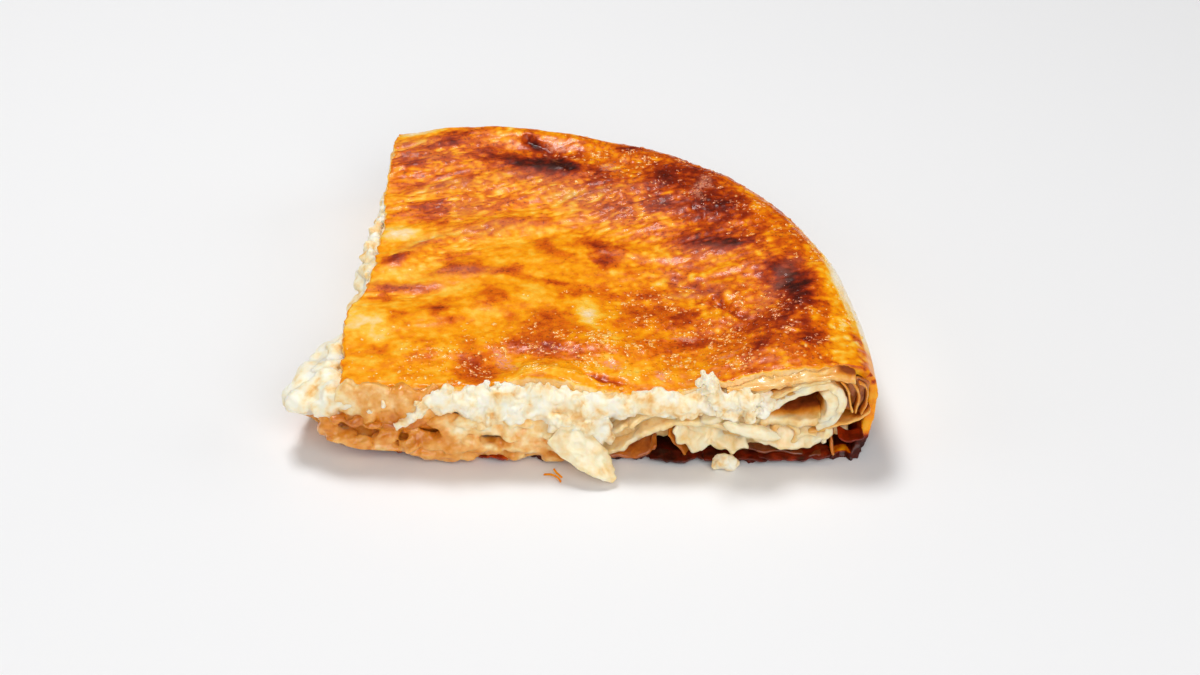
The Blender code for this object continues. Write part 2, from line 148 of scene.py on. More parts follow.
def folds(points, size, layer, octaves=2):
    """Noise with sharp crests, 0 to 1, for crinkled skin."""
    return 1 - np.abs(lumps(points, size, layer, octaves)) * 2


def patch(points, x, y, half_length, half_width, turn=0):
    """1 at the middle of an oval patch on the slice, fading to 0 around it."""
    angle = math.radians(turn)
    dx = points[:, 0] - x
    dy = points[:, 1] - y
    along = (dx * math.cos(angle) + dy * math.sin(angle)) / half_length
    across = (dy * math.cos(angle) - dx * math.sin(angle)) / half_width
    return np.exp(-along * along - across * across)


def patches(points, entries):
    """The sum of patches. Each entry is x, y, half length, half width, turn and strength."""
    return sum(patch(points, *entry[:5]) * entry[5] for entry in entries)


def near_line(points, line, half_width):
    """1 on a line of (x, y) places, fading to 0 beside it."""
    nearest = np.full(len(points), np.inf)
    for start, end in zip(line, line[1:]):
        start = np.array(start, float)
        step = np.array(end, float) - start
        share = np.clip((points[:, :2] - start) @ step / (step @ step), 0, 1)
        gap = points[:, :2] - start - share[:, None] * step
        nearest = np.minimum(nearest, np.hypot(gap[:, 0], gap[:, 1]))
    return np.exp(-((nearest / half_width) ** 2))


def thin_out(piece, chosen, share):
    """Keeps only a share of the faces in a part of the piece that needs no detail."""
    select_only(piece)
    bpy.ops.object.mode_set(mode="EDIT")
    bpy.ops.mesh.select_mode(type="VERT")
    bpy.ops.mesh.select_all(action="DESELECT")
    bpy.ops.object.mode_set(mode="OBJECT")
    piece.data.vertices.foreach_set("select", chosen)
    bpy.ops.object.mode_set(mode="EDIT")
    bpy.ops.mesh.decimate(ratio=share)
    bpy.ops.object.mode_set(mode="OBJECT")


def paint(piece, name, values):
    """Stores a value for each point, which a material reads by name."""
    layer = piece.data.attributes.new(name, "FLOAT", "POINT")
    layer.data.foreach_set("value", np.asarray(values, np.float32))


def cut_distances(points):
    """How far each point lies behind the front cut and the left cut."""
    behind_front = points[:, 1] - CUT_CORNER[1]
    behind_left = points[:, 0] - CUT_CORNER[0] - LEFT_CUT_LEAN * behind_front
    return behind_front, behind_left


def read_off(stops, at):
    """The value at each place, read off a line of (place, value) stops."""
    return np.interp(at, *zip(*stops))


def corner_lift(points):
    """How high the underside stands off the table, where the corner of the slice is lifted."""
    return read_off(CORNER_FOOT, points[:, 0]) * ease(-28, -52, points[:, 1])


def lines_the_inside(piece):
    """Which points look at the piece's own far wall, as the lining of a shell does."""
    tree = BVHTree.FromPolygons(
        [point.co for point in piece.data.vertices],
        [face.vertices for face in piece.data.polygons],
    )
    found = []
    for point in piece.data.vertices:
        start = point.co + point.normal * MM
        found.append(tree.ray_cast(start, point.normal, SLICE_REACH)[0] is not None)
    return np.array(found)


outer_leaf = copy_of_solid("pastry", "outer_leaf")
apply_modifier(outer_leaf, "REMESH", mode="VOXEL", voxel_size=SKIN_GRID)
inland = np.minimum(*cut_distances(places(outer_leaf))) > INSIDE_EDGE
thin_out(outer_leaf, lines_the_inside(outer_leaf) & inland, INSIDE_KEPT)
points = places(outer_leaf)
inland = np.minimum(*cut_distances(points)) > UNDERSIDE_EDGE
inland &= np.hypot(*cut_distances(points)) < RIM_RADIUS - UNDERSIDE_RIM
thin_out(outer_leaf, (points[:, 2] < UNDERSIDE_HEIGHT) & inland, UNDERSIDE_KEPT)

points = places(outer_leaf)
facing = outward(outer_leaf)
behind_front, behind_left = cut_distances(points)
lining = lines_the_inside(outer_leaf)
at_cut = np.maximum(
    ease(0.3, 0.8, -facing[:, 1]) * ease(7, 3, behind_front),
    ease(0.3, 0.8, -facing[:, 0]) * ease(7, 3, behind_left),
)
skin = np.where(lining, 0, 1 - at_cut)
skin_group = outer_leaf.vertex_groups.new(name="skin")
edge_share = np.minimum(ease(0.5, 3, behind_front), ease(0.5, 3, behind_left))
for index in np.flatnonzero(skin > 0.5).tolist():
    skin_group.add([index], float(edge_share[index]), "REPLACE")
apply_modifier(
    outer_leaf, "SMOOTH", factor=0.5, iterations=SKIN_SMOOTHING, vertex_group="skin"
)

# How the skin lies: long soft wrinkles at the back left, creases pulled in along the right, and
# blisters the size of a pinhead where the oil has fried it.
LONG_WRINKLE = (22, 4.5, 12)
CRINKLE = (5.0, 1.7, 3.0)
BLISTER = 2.1
GLOSSY_STREAK = (1.3, 8, 4)
# How far each form stands out of the skin, or lies in it
WRINKLE_RISE = 0.95
CRINKLE_RISE = 0.3
CREASE_DEPTH = 1.2
CREASE_SIDES_RISE = 0.6
RIDGE_RISE = 0.7
STREAK_RISE = 0.45
LIP_RISE = 0.7
PEELED_DEPTH = 0.8
BLISTER_RISE = 0.75
# How far a crease, its raised sides, a ridge and the lip reach to either side
CREASE_REACH = 1.5
CREASE_SIDES_REACH = 4.0
RIDGE_REACH = 2.2
LIP_REACH = 1.6
CREASES = (
    ((22, -4), (26, -8), (30, -11), (36, -15)),
    ((35, -18), (39, -24), (43, -28)),
    ((-24, 75), (-19, 72), (-15, 65), (-9, 57)),
    ((-4, -54), (1, -57), (6, -58)),
)
RIDGES = (
    ((-67, 6), (-60, 10), (-53, 18), (-46, 23), (-38, 26), (-28, 29), (-18, 32)),
    ((-66, 26), (-58, 28), (-50, 30), (-42, 36), (-30, 39)),
    ((-67, 60), (-58, 60), (-50, 63), (-40, 63)),
    ((-66, 68), (-56, 67), (-46, 70)),
    ((-62, 49), (-52, 53), (-40, 53)),
    ((-68, 41), (-60, 43), (-50, 45), (-38, 45)),
    ((-72, -7), (-60, -5), (-48, -5)),
    ((-30, 48), (-18, 48), (-6, 45), (6, 41)),
    ((2, 14), (10, 10), (18, 7), (28, 2)),
    ((31, -6), (38, -4), (46, -3)),
    ((59, -2), (54, -13), (46, -28)),
)
# The raised rim of a place where the top skin has peeled off the smooth leaf under it
LIP = ((-26, -61), (-22, -57), (-15, -54.5), (-8, -55.5), (-2, -58), (4, -61))
# How far the knife pulled the crust's left edge aside, as y and the shift along x
LEFT_EDGE = (
    (-60, 0.2), (-36, -2.2), (-20, -2.8), (-15, -1.5), (-9, 1.0), (12, 2.4), (34, 1.6), (52, 0.2),
)
# Where the skin is crinkled, and where the oil has fried it
CRINKLED_PATCHES = (
    (-54, 68, 24, 14, 8, 1), (-50, 42, 24, 13, 5, 0.9), (-46, 16, 24, 10, 30, 0.7),
    (-62, -10, 13, 4, 5, 0.7), (-12, 46, 24, 12, -8, 0.8), (12, 32, 16, 10, -20, 0.9),
    (36, 8, 18, 10, -25, 0.6), (52, -12, 8, 16, -20, 0.5),
)
FRIED_PATCHES = (
    (28, 52, 24, 13, -38, 1), (56, 22, 20, 10, -60, 0.7), (2, 62, 14, 9, -15, 0.6),
    (-8, -46, 26, 14, 0, 1), (-40, -46, 26, 12, 0, 0.6), (30, -42, 26, 16, 0, 0.9),
    (60, -36, 14, 16, 0, 0.8), (34, 32, 14, 10, -30, 0.5), (10, -18, 20, 10, 0, 0.5),
)
# The wrinkles run at a slant to the front cut
turned = points @ np.array(((0.97, -0.26, 0), (0.26, 0.97, 0), (0, 0, 1)))
top = ease(0.3, 0.75, facing[:, 2]) * skin
upper = ease(-0.2, 0.3, facing[:, 2]) * skin
crinkled = np.clip(patches(points, CRINKLED_PATCHES), 0, 1)
fried = np.clip(patches(points, FRIED_PATCHES), 0, 1)
wrinkle = lumps(turned, LONG_WRINKLE, 1)
crinkle = folds(turned, CRINKLE, 2)
blister = np.maximum(lumps(points, BLISTER, 3, 2) - 0.22, 0)
streak = folds(points, GLOSSY_STREAK, 20, 2) * patch(points, 38, 28, 12, 12)
strayed = points + 1.3 * wander(points, 9, 7) + 0.8 * wander(points, 3, 4)
crease = sum(near_line(strayed, line, CREASE_REACH) for line in CREASES)
beside_crease = sum(near_line(strayed, line, CREASE_SIDES_REACH) for line in CREASES)
ridge = sum(near_line(strayed, line, RIDGE_REACH) for line in RIDGES)
peeled = patch(points, -14, -59, 10, 4)
rise = top * (
    WRINKLE_RISE * wrinkle * (0.12 + 0.88 * crinkled)
    + CRINKLE_RISE * crinkle * crinkled
    + CREASE_SIDES_RISE * beside_crease
    - CREASE_DEPTH * crease
    + RIDGE_RISE * ridge * (0.6 + 0.5 * lumps(points, 12, 21))
    + 0.25 * lumps(points, 15, 22)
    + 0.13 * lumps(turned, (3.4, 1.8, 3), 33)
    + STREAK_RISE * streak
    + LIP_RISE * near_line(strayed, LIP, LIP_REACH)
    - PEELED_DEPTH * peeled
)
rise += upper * (BLISTER_RISE * blister * fried + 0.06 * lumps(points, 3, 23))
torn = 0.4 * lumps(points, (5, 5, 0.9), 24) + 0.35 * lumps(points, (2.5, 2.5, 1.5), 25)
rise += np.where(lining, 0, at_cut) * torn
points = points + facing * rise[:, None]
from_corner = np.hypot(behind_front, behind_left)
around = np.degrees(np.arctan2(behind_front, np.maximum(points[:, 0] - CUT_CORNER[0], 0.1)))
raised = RIM_RISE * ease(105, 140, from_corner) * ease(12, 25, around) * ease(88, 74, around)
raised -= BACK_SAG * ease(80, 90, around) * ease(120, 145, from_corner)
points[:, 2] += raised * ease(0, 20, points[:, 2])
points[:, 2] += corner_lift(points) * ease(12, 4, points[:, 2])

# The cut edges of the crust wander, and the bottom leaf is frayed where the knife tore it
in_crust = ease(14, 20, points[:, 2])
pulled = read_off(LEFT_EDGE, points[:, 1]) + 0.7 * lumps(points[:, [1, 1, 1]], 4, 26)
points[:, 0] += pulled * ease(9, 0, behind_left) * in_crust
along_front = points[:, [0, 0, 0]]
notched = 0.8 * lumps(along_front, 5, 27) + 0.4 * lumps(along_front, 1.8, 28)
points[:, 1] += notched * ease(5, 0, behind_front) * in_crust
frayed = 1.6 * lumps(along_front, 7, 29) + 0.8 * lumps(along_front, 2.2, 30)
at_foot = ease(6, 0, behind_front) * ease(3.5, 2, points[:, 2])
points[:, 1] += frayed * at_foot
points[:, 2] += np.maximum(0, 1.2 * lumps(along_front, 9, 31)) * at_foot
put_places(outer_leaf, points)

# How far each place is baked: 0 is raw cream, 0.36 amber, 0.6 orange brown, 0.85 dark, 1 burnt.
# Each mark is x, y, half length, half width (mm), turn (degrees) and how much more it is baked.
BAKED_MARKS = (
    (-60, 82, 10, 2.5, 8, -0.36), (-47, 75, 6, 4, 0, 0.24), (-43, 80, 8, 3, 5, 0.14),
    (-58, 72, 9, 2.2, 8, 0.23), (-61, 63, 8, 3.5, 10, 0.21), (-37, 67, 6, 5, -20, 0.3),
    (-52, 57, 8, 2, 5, 0.13), (-43, 55, 4, 1.6, 0, 0.21), (-59, 52, 4, 2, 0, 0.18),
    (-54, 38, 7, 6, 0, 0.2), (-53, 31, 5, 5, 0, 0.07), (-42, 40, 8, 4, 10, 0.03),
    (-30, 37, 4.5, 1.6, 0, 0.16), (-35, 46, 5, 6, 0, 0.05), (-24, 42, 5, 1.8, 0, 0.13),
    (-19, 61, 10, 6.5, -12, 0.52), (-11, 58, 6, 4.5, -20, 0.3), (-27, 65, 5, 3.5, -20, 0.26),
    (-22, 74, 3, 4, 20, 0.36), (-34, 79, 6, 3, 0, -0.08), (-8, 67, 5, 4, 0, 0.16),
    (-1, 52, 6, 6, 0, 0.23), (9, 69, 4, 3, 0, 0.23), (26, 50, 11, 8, -35, 0.16),
    (20, 46, 5, 8, 0, 0.21), (34, 42, 7, 6, -45, 0.16), (45, 41, 12, 3, -48, -0.16),
    (20, 34, 3, 4, 0, 0.26), (10, 35, 9, 3.5, -15, 0.12), (4, 33, 7, 4, -15, 0.08),
    (36, 29, 9, 9, 0, 0.32), (29, 12, 6, 4, 0, 0.16), (40, 9, 7, 5, -20, 0.26),
    (36, 13, 13, 6, -15, 0.12), (63, -6, 4, 7, 0, -0.08), (-64, 24, 7, 4, 0, -0.34),
    (-48, 22, 11, 1.6, 25, -0.16), (-46, 8, 7, 6, 0, 0.1), (-41, 2, 9, 3.4, 8, 0.24),
    (-27, 1, 4, 2.5, 0, 0.2), (-64, 7, 5, 3, 20, 0.18), (-15, 14, 8, 3, -55, 0.23),
    (0, 15, 7, 3.2, -25, 0.29), (0, 7, 4.5, 3.2, -20, 0.26), (6, 3, 5, 1.6, -35, 0.16),
    (-12, -5, 8, 1.8, -8, 0.23), (-5, -10, 7, 3, 0, 0.13), (-64, -7, 7, 2.2, 0, 0.26),
    (-54, -7, 6, 1.8, 5, 0.21), (-66, -12, 4, 2, 0, 0.16), (-60, 0, 12, 3, 0, -0.1),
    (-50, -20, 4, 4, 0, 0.27), (-62, -23, 5, 3, -20, 0.13), (-33, -13, 5.5, 5, 0, 0.18),
    (-43, -8, 5, 2, 20, -0.1), (-44, -27, 5, 3, 0, 0.1), (-68, -26, 6, 7, 0, -0.21),
    (-67, -41, 4, 3, 0, 0.1), (-37, -47, 5, 9, 0, 0.18), (-34, -53, 6, 5, 0, 0.2),
    (-52, -43, 4, 8, 0, 0.08), (-24, -39, 5, 5, 0, 0.26), (-15, -41, 5, 5, 0, 0.23),
    (-9, -33, 6, 4, 0, 0.08), (-7, -44, 5, 5, 0, 0.2), (-19, -12, 4, 5, 0, -0.1),
    (-16, -27, 9, 9, 0, 0.17), (-3, -24, 3.5, 7, 0, -0.26), (-35, -26, 4, 6, 0, -0.07),
    (8, -53, 8, 4, 0, -0.08), (1, -57, 5, 1.6, -25, 0.29), (24, -39, 10, 2.6, 0, 0.17),
    (18, -45, 8, 4, 0, 0.1), (25, -26, 4.5, 5, 0, 0.16), (13, -24, 9, 8, 0, 0.1),
    (14, -12, 8, 1.8, 0, 0.16), (33, -4, 9, 2, 20, -0.13), (54, -6, 7, 5, 10, 0.2),
    (58, -17, 5.5, 10, 5, 0.55), (54, -33, 6, 6, 0, 0.22), (46, -35, 5, 4, 0, 0.13),
    (61, -45, 4.5, 7, 0, 0.3), (46, -47, 9, 3.5, 60, 0.2), (70, -19, 3.5, 16, 8, -0.2),
    (70, -46, 3.5, 12, 5, -0.21), (22, -53, 30, 9, 0, -0.07),
)
# Where the skin has dried dull and carries a painted rose-brown sheen, and where a painted pink
# glare lies on it
SHEEN_PATCHES = (
    (-62, 74, 8, 3, 5, 0.8), (-56, 66, 12, 3.5, 5, 0.6), (-48, 51, 12, 3, 6, 0.7),
    (-42, 39, 9, 5, 15, 0.6), (-34, 26, 12, 2.5, 14, 0.7), (-56, 17, 9, 2.6, 40, 0.7),
    (-42, 1, 9, 2.6, 5, 0.8), (-60, -6, 12, 2, 0, 0.7), (-22, 54, 12, 3.5, -18, 0.8),
    (-9, 43, 9, 5, -15, 0.7), (3, 43, 9, 2.4, 0, 0.7), (2, 33, 9, 5, -20, 0.5),
    (14, 33, 8, 5, -25, 0.5), (32, 7, 9, 2.6, -10, 0.6), (26, -14, 8, 1.8, 0, 0.6),
)
SHEEN_LINES = (
    ((59, -2), (54, -13), (46, -28)),
    ((22, -4), (26, -8), (30, -11), (36, -15)),
)
GLARE_PATCHES = (
    (-28, -47, 8, 3.2, -60, 1), (-14, 73, 8, 3, -25, 0.9), (4, 57, 4, 5, 20, 0.7),
    (33, 42, 3.5, 8, -20, 0.8), (4, -50, 3.4, 2.6, 0, 0.9), (17, -55, 5, 1.6, -30, 0.7),
    (25, -37, 5, 1.1, 0, 0.8), (37, -49, 6, 1.6, 30, 0.6),
)
x = points[:, 0]
y = points[:, 1]
z = points[:, 2]
baked = 0.365 + 0.15 * ease(-20, 42, x) + 0.08 * ease(10, 60, y) + patches(strayed, BAKED_MARKS)
# Mottling, ridges and creases
baked += 0.1 * lumps(turned, (9, 4, 8), 10) * (0.35 + 0.65 * crinkled)
baked += 0.08 * lumps(points, 6, 36) * (1 - 0.7 * crinkled) + 0.06 * lumps(points, 4, 32)
baked += 0.15 * (folds(points, 3.6, 34) - 0.62) * (0.3 + 0.7 * ease(-20, 30, x + 0.6 * y))
baked += 0.13 * near_line(strayed, RIDGES[0], 2.6) + 0.07 * near_line(strayed, RIDGES[3], 2)
baked += crinkled * (0.22 * (crinkle - 0.6) + 0.07 * wrinkle)
baked += 0.12 * crease
baked += (0.31 - baked) * np.clip(1.6 * peeled, 0, 1)
# The side along the rim
pale_side = ease(3, 8, around) * ease(34, 22, around)
on_side = ease(0.82 + 0.12 * pale_side, 0.4 + 0.36 * pale_side, facing[:, 2])
side_bake = 0.09 - 0.04 * pale_side + 0.06 * lumps(points, (14, 14, 5), 11)
side_bake += 0.16 * ease(21, 27, z) * (1 - pale_side) + 0.75 * ease(8, 1, z)
front_end = ease(9, 3, around)
side_bake += front_end * (0.1 + 0.55 * ease(13, 7, z))
side_bake += 0.3 * ease(48, 75, around) * ease(0.1, 0.5, lumps(points, (22, 22, 9), 12))
baked += (side_bake - baked) * on_side
# The underside
below = ease(-0.3, -0.8, facing[:, 2])
under_bake = 0.72 + 0.14 * ease(-60, 0, x) + 0.16 * lumps(points, 16, 13)
baked += (under_bake + 0.08 * lumps(points, 4, 14) - baked) * below

# The torn side of the leaf is crumb: amber just under the skin, cream below it, burnt at the foot
COLUMN = 1.5
column = np.floor((x - y) / COLUMN).astype(int)
column -= column.min()
crust_top = np.full(column.max() + 1, -np.inf)
on_edge = (behind_front < 4) | (behind_left < 4)
np.maximum.at(crust_top, column[on_edge], z[on_edge])
depth = np.clip(crust_top[column] - z, 0, 30)
crumb_side = 0.14 + 0.3 * ease(1.3, 0.2, depth) + 0.07 * lumps(points, 5, 15)
crumb_side += 0.24 * ease(66, 76, x) * ease(12, 4, behind_front)
foot_bake = 0.62 + 0.33 * ease(-40, -10, x) + 0.12 * lumps(points, (6, 3, 3), 16)
crumb_side += (foot_bake - crumb_side) * ease(5, 2.5, z)
# Low at the right end the crumb and lining go near burnt: partly the burnt foot, partly painted
# shade in the dark gap beside the rolled leaves
crumb_side += (0.95 - crumb_side) * ease(9, 5, z) * ease(60, 66, x)
baked += (crumb_side - baked) * (1 - skin)
# The dull skin and its painted rose-brown sheen, along the patches and the creases
dull_and_sheen = patches(strayed, SHEEN_PATCHES)
dull_and_sheen += 0.45 * sum(near_line(strayed, line, 2.4) for line in SHEEN_LINES)
paint(outer_leaf, "baked", np.clip(baked, 0, 1))
paint(outer_leaf, "dull_and_sheen", np.clip(dull_and_sheen, 0, 1) * top)
paint(outer_leaf, "dull", np.clip(dull_and_sheen + 0.75 * crinkled - 0.2 * fried, 0, 1))
# A painted pink glare, its edges made ragged
glare_places = points + 2.6 * wander(points, 6, 37)
paint(outer_leaf, "painted_glare", np.clip(3 * patches(glare_places, GLARE_PATCHES) - 1, 0, 1) * top)
paint(outer_leaf, "fried", fried * upper * (1 - np.clip(peeled * 2, 0, 1)))


def linear(colour):
    """A colour given as sRGB hex, as the shader's linear numbers."""
    parts = [int(colour[start : start + 2], 16) / 255 for start in (1, 3, 5)]
    parts = [part / 12.92 if part <= 0.04045 else ((part + 0.055) / 1.055) ** 2.4 for part in parts]
    return (*parts, 1.0)


def add_node(tree, kind, settings=None, out=0, stops=(), **inputs):
    """Adds a shader node and gives its output out. Each input is given by its name, with _ for a
    space, or as _ and its number, and is a value or the output that it is linked to. stops are
    the colours along a ramp, as (share, sRGB hex)."""
    made = tree.nodes.new("ShaderNode" + kind)
    for setting, value in (settings or {}).items():
        setattr(made, setting, value)
    for name, value in inputs.items():
        socket = made.inputs[int(name[1:]) if name[1:].isdigit() else name.replace("_", " ")]
        if isinstance(value, bpy.types.NodeSocket):
            tree.links.new(value, socket)
        else:
            socket.default_value = value
    for index, (share, colour) in enumerate(stops):
        elements = made.color_ramp.elements
        element = elements[index] if index < len(elements) else elements.new(share)
        element.position = share
        element.color = linear(colour)
    return made.outputs[out]


def new_material(name):
    """A new material and its node tree, with nothing in it."""
    made = bpy.data.materials.new(name)
    made.use_nodes = True
    made.node_tree.nodes.clear()
    return made, made.node_tree


def surface(tree, shader):
    output = tree.nodes.new("ShaderNodeOutputMaterial")
    tree.links.new(shader, output.inputs["Surface"])


def baked_pastry():
    """Oiled wheat dough, oven baked: amber where it is thin, brown to burnt on its ridges, with a
    skin of oil that shines on the smooth places and has dried dull on the crinkled ones."""
    finish, tree = new_material("baked_pastry")
    where = add_node(tree, "TexCoord", out="Object")
    bake, sheen, dull, painted_glare, fried_skin = (
        add_node(tree, "Attribute", {"attribute_name": name}, "Fac")
        for name in ("baked", "dull_and_sheen", "dull", "painted_glare", "fried")
    )

    # The bake is mottled at the size of a blister
    mottle = add_node(
        tree, "TexNoise", Vector=where, Scale=1 / (3.0 * MM), Detail=4.0, Roughness=0.65
    )
    shift = add_node(tree, "Math", {"operation": "MULTIPLY_ADD"}, _0=mottle, _1=0.34, _2=-0.17)
    total = add_node(tree, "Math", {"operation": "ADD"}, _0=bake, _1=shift)
    stops = (
        (0.0, "#FFEFCF"),
        (0.12, "#FFD99A"),
        (0.25, "#FFC640"),
        (0.36, "#FFA202"),
        (0.50, "#E66E00"),
        (0.62, "#C04600"),
        (0.74, "#902602"),
        (0.86, "#641603"),
        (1.0, "#340D06"),
    )
    colour = add_node(tree, "ValToRGB", stops=stops, Fac=total)

    # A painted rose-brown sheen lies on the dull skin, and comes and goes over a few millimetres.
    # A painted pink glare lies where marked
    colour_mix = {"data_type": "RGBA"}
    cover = add_node(
        tree, "MapRange", Value=mottle, From_Min=0.35, From_Max=0.62, To_Min=0.25, To_Max=0.8
    )
    sheen_cover = add_node(tree, "Math", {"operation": "MULTIPLY"}, _0=sheen, _1=cover)
    sheened = add_node(tree, "Mix", colour_mix, 2, _0=sheen_cover, _6=colour, _7=linear("#B5654B"))
    grit = add_node(tree, "TexNoise", Vector=where, Scale=1 / (0.9 * MM), Detail=2.0, Roughness=0.6)
    gritty = add_node(tree, "MapRange", Value=grit, From_Min=0.4, From_Max=0.55, To_Max=0.85)
    # Painted glare: pink, grainy where it lies
    glare_cover = add_node(tree, "Math", {"operation": "MULTIPLY"}, _0=painted_glare, _1=gritty)
    glared = add_node(tree, "Mix", colour_mix, 2, _0=glare_cover, _6=sheened, _7=linear("#EF9C7C"))

    # Brown places carry darker specks
    specks = add_node(tree, "MapRange", Value=grit, From_Min=0.54, From_Max=0.68, To_Max=0.6)
    browned = add_node(tree, "MapRange", Value=bake, From_Min=0.38, From_Max=0.55)
    specked = add_node(tree, "Math", {"operation": "MULTIPLY"}, _0=specks, _1=browned)
    speckled = add_node(tree, "Mix", colour_mix, 2, _0=specked, _6=glared, _7=linear("#5E220C"))

    # Fine skin everywhere, and beads of skin where it has fried
    fine = add_node(tree, "TexNoise", Vector=where, Scale=1 / (1.1 * MM), Detail=3.0)
    pebbles = add_node(tree, "TexVoronoi", Vector=where, Scale=1 / (1.5 * MM))
    bead = add_node(tree, "MapRange", Value=pebbles, From_Max=0.36, To_Min=1.0, To_Max=0.0)
    pick = pebbles.node.outputs["Color"]
    some = add_node(tree, "Math", {"operation": "GREATER_THAN"}, _0=pick, _1=0.5)
    beads = add_node(tree, "Math", {"operation": "MULTIPLY"}, _0=bead, _1=some)
    rough_skin = add_node(tree, "Bump", Strength=0.2, Distance=0.2 * MM, Height=fine)
    height = add_node(tree, "Math", {"operation": "MULTIPLY"}, _0=fried_skin, _1=0.9)
    beaded = add_node(
        tree, "Bump", Strength=height, Distance=0.45 * MM, Height=beads, Normal=rough_skin
    )
    gloss = add_node(tree, "MapRange", Value=dull, To_Min=0.3, To_Max=0.62)
    shader = add_node(
        tree,
        "BsdfPrincipled",
        Base_Color=speckled,
        Roughness=gloss,
        IOR=1.46,
        Subsurface_Weight=0.1,
        Subsurface_Radius=(1.0, 0.5, 0.2),
        Subsurface_Scale=1.5 * MM,
        Specular_IOR_Level=0.25,
        Coat_Weight=0.12,
        Coat_Roughness=0.08,
        Normal=beaded,
    )
    surface(tree, shader)
    return finish


pastry = baked_pastry()


def dress(piece, finish, node):
    """Gives a finished piece its material, and its place on the body."""
    piece.data.materials.clear()
    piece.data.materials.append(finish)
    select_only(piece)
    bpy.ops.object.shade_smooth()
    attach(piece, "root")
    if node:
        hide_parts(node)


dress(outer_leaf, pastry, "pastry")

# The blisters
# Where the oil has fried the skin, steam has blown the dough up into swarms of blisters the size
# of a pinhead.

BLISTER_COUNT = 1500
BLISTER_WIDTHS = (0.4, 0.5, 0.6, 0.95)


def join(pieces, name):
    select_only(pieces[0])
    for piece in pieces:
        piece.select_set(True)
    bpy.ops.object.join()
    pieces[0].name = name
    return pieces[0]


def balls(entries, placed, subdivisions, name):
    """One ball for each entry, in one piece. placed gives a ball's points, in mm, from those of a
    ball 1 mm wide and the entry."""
    bpy.ops.mesh.primitive_ico_sphere_add(subdivisions=subdivisions, radius=0.5 * MM)
    model = bpy.context.active_object
    ball = places(model) + MIDDLE
    copies = []
    for entry in entries:
        piece = model.copy()
        piece.data = model.data.copy()
        bpy.context.scene.collection.objects.link(piece)
        put_places(piece, placed(ball, entry))
        copies.append(piece)
    bpy.data.objects.remove(model)
    return join(copies, name)


def glinting_blister_skin():
    """The thin skin of a blister, slick with oil, its colour painted paler than the leaf under it
    as a highlight.
    """
    finish, tree = new_material("glinting_blister_skin")
    bake = add_node(tree, "Attribute", {"attribute_name": "baked"}, "Fac")
    # Painted highlight: each stop is paler than the crust's colour at the same bake
    stops = ((0.3, "#FFD270"), (0.5, "#F8AC5A"), (0.7, "#DC7E50"), (0.9, "#A24C34"))
    colour = add_node(tree, "ValToRGB", stops=stops, Fac=bake)
    shader = add_node(
        tree,
        "BsdfPrincipled",
        Base_Color=colour,
        Roughness=0.2,
        IOR=1.46,
        Coat_Weight=0.4,
        Coat_Roughness=0.06,
    )
    surface(tree, shader)
    return finish


generator = random.Random(7)
facing = outward(outer_leaf)
swarm = ease(-0.05, 0.4, lumps(points, 7, 35, 2))
likely = fried * top * (0.06 + swarm) * (1 - np.clip(2 * peeled, 0, 1))
chosen = generator.choices(range(len(points)), likely, k=BLISTER_COUNT)


def blister_at(ball, index):
    width = generator.choice(BLISTER_WIDTHS)
    ball = ball * (width, width * generator.uniform(0.8, 2.2), 0.5 * width)
    spin = Matrix.Rotation(generator.uniform(0, math.tau), 3, "Z")
    turn = Vector(facing[index]).to_track_quat("Z", "Y").to_matrix() @ spin
    return ball @ np.array(turn).T + points[index]


blisters = balls(chosen, blister_at, subdivisions=2, name="blisters")
paint(blisters, "baked", np.repeat(baked[chosen], len(blisters.data.vertices) // BLISTER_COUNT))
dress(blisters, glinting_blister_skin(), None)

# The boiled dough
# Sheets of dough that stayed under the cheese and boiled in its whey instead of browning: soft,
# wet and cream coloured, folded over one another. At the front cut their edges hang out.

BED_GRID = 1.1 * MM
TORN_GRID = 0.5 * MM
SHEET_GRID = 0.9
CORE_KEPT = 0.1
KNOBBLY = 0.45
FRONT = -64.5
BED_SET_BACK = 1.8
LEFT_SET_BACK = 5.0


def near_cut(points, reach):
    """1 at the two cuts, fading to 0 at reach mm behind them."""
    behind_front, behind_left = cut_distances(points)
    return np.maximum(ease(reach, reach / 3, behind_front), ease(reach, reach / 3, behind_left))


def corner_floor(points):
    """The lowest that dough hangs at the corner where the two cuts meet, which stands clear of
    the table."""
    in_front = np.maximum(0, CUT_CORNER[1] - points[:, 1])
    return corner_lift(points) + 0.66 * in_front * ease(-44, -60, points[:, 0])


def remeshed_core(node, name, grid, seen, set_back):
    """A copy of a solid in an even mesh, with few faces further than seen mm behind the cuts, and
    its front end moved back by set_back mm, behind the pieces that cover it. The left side is
    drawn in under the crust."""
    core = copy_of_solid(node, name)
    apply_modifier(core, "REMESH", mode="VOXEL", voxel_size=grid)
    thin_out(core, near_cut(places(core), 2 * seen) < 0.2, CORE_KEPT)
    points = places(core)
    behind_front, behind_left = cut_distances(points)
    points[:, 1] += set_back * ease(2 + 1.5 * set_back, -2, behind_front)
    hollowed = ease(-32, -18, points[:, 1]) * ease(58, 34, points[:, 1])
    points[:, 0] += LEFT_SET_BACK * hollowed * ease(7, -4, behind_left)
    points[:, 2] = np.maximum(points[:, 2], corner_floor(points))
    put_places(core, points)
    return core


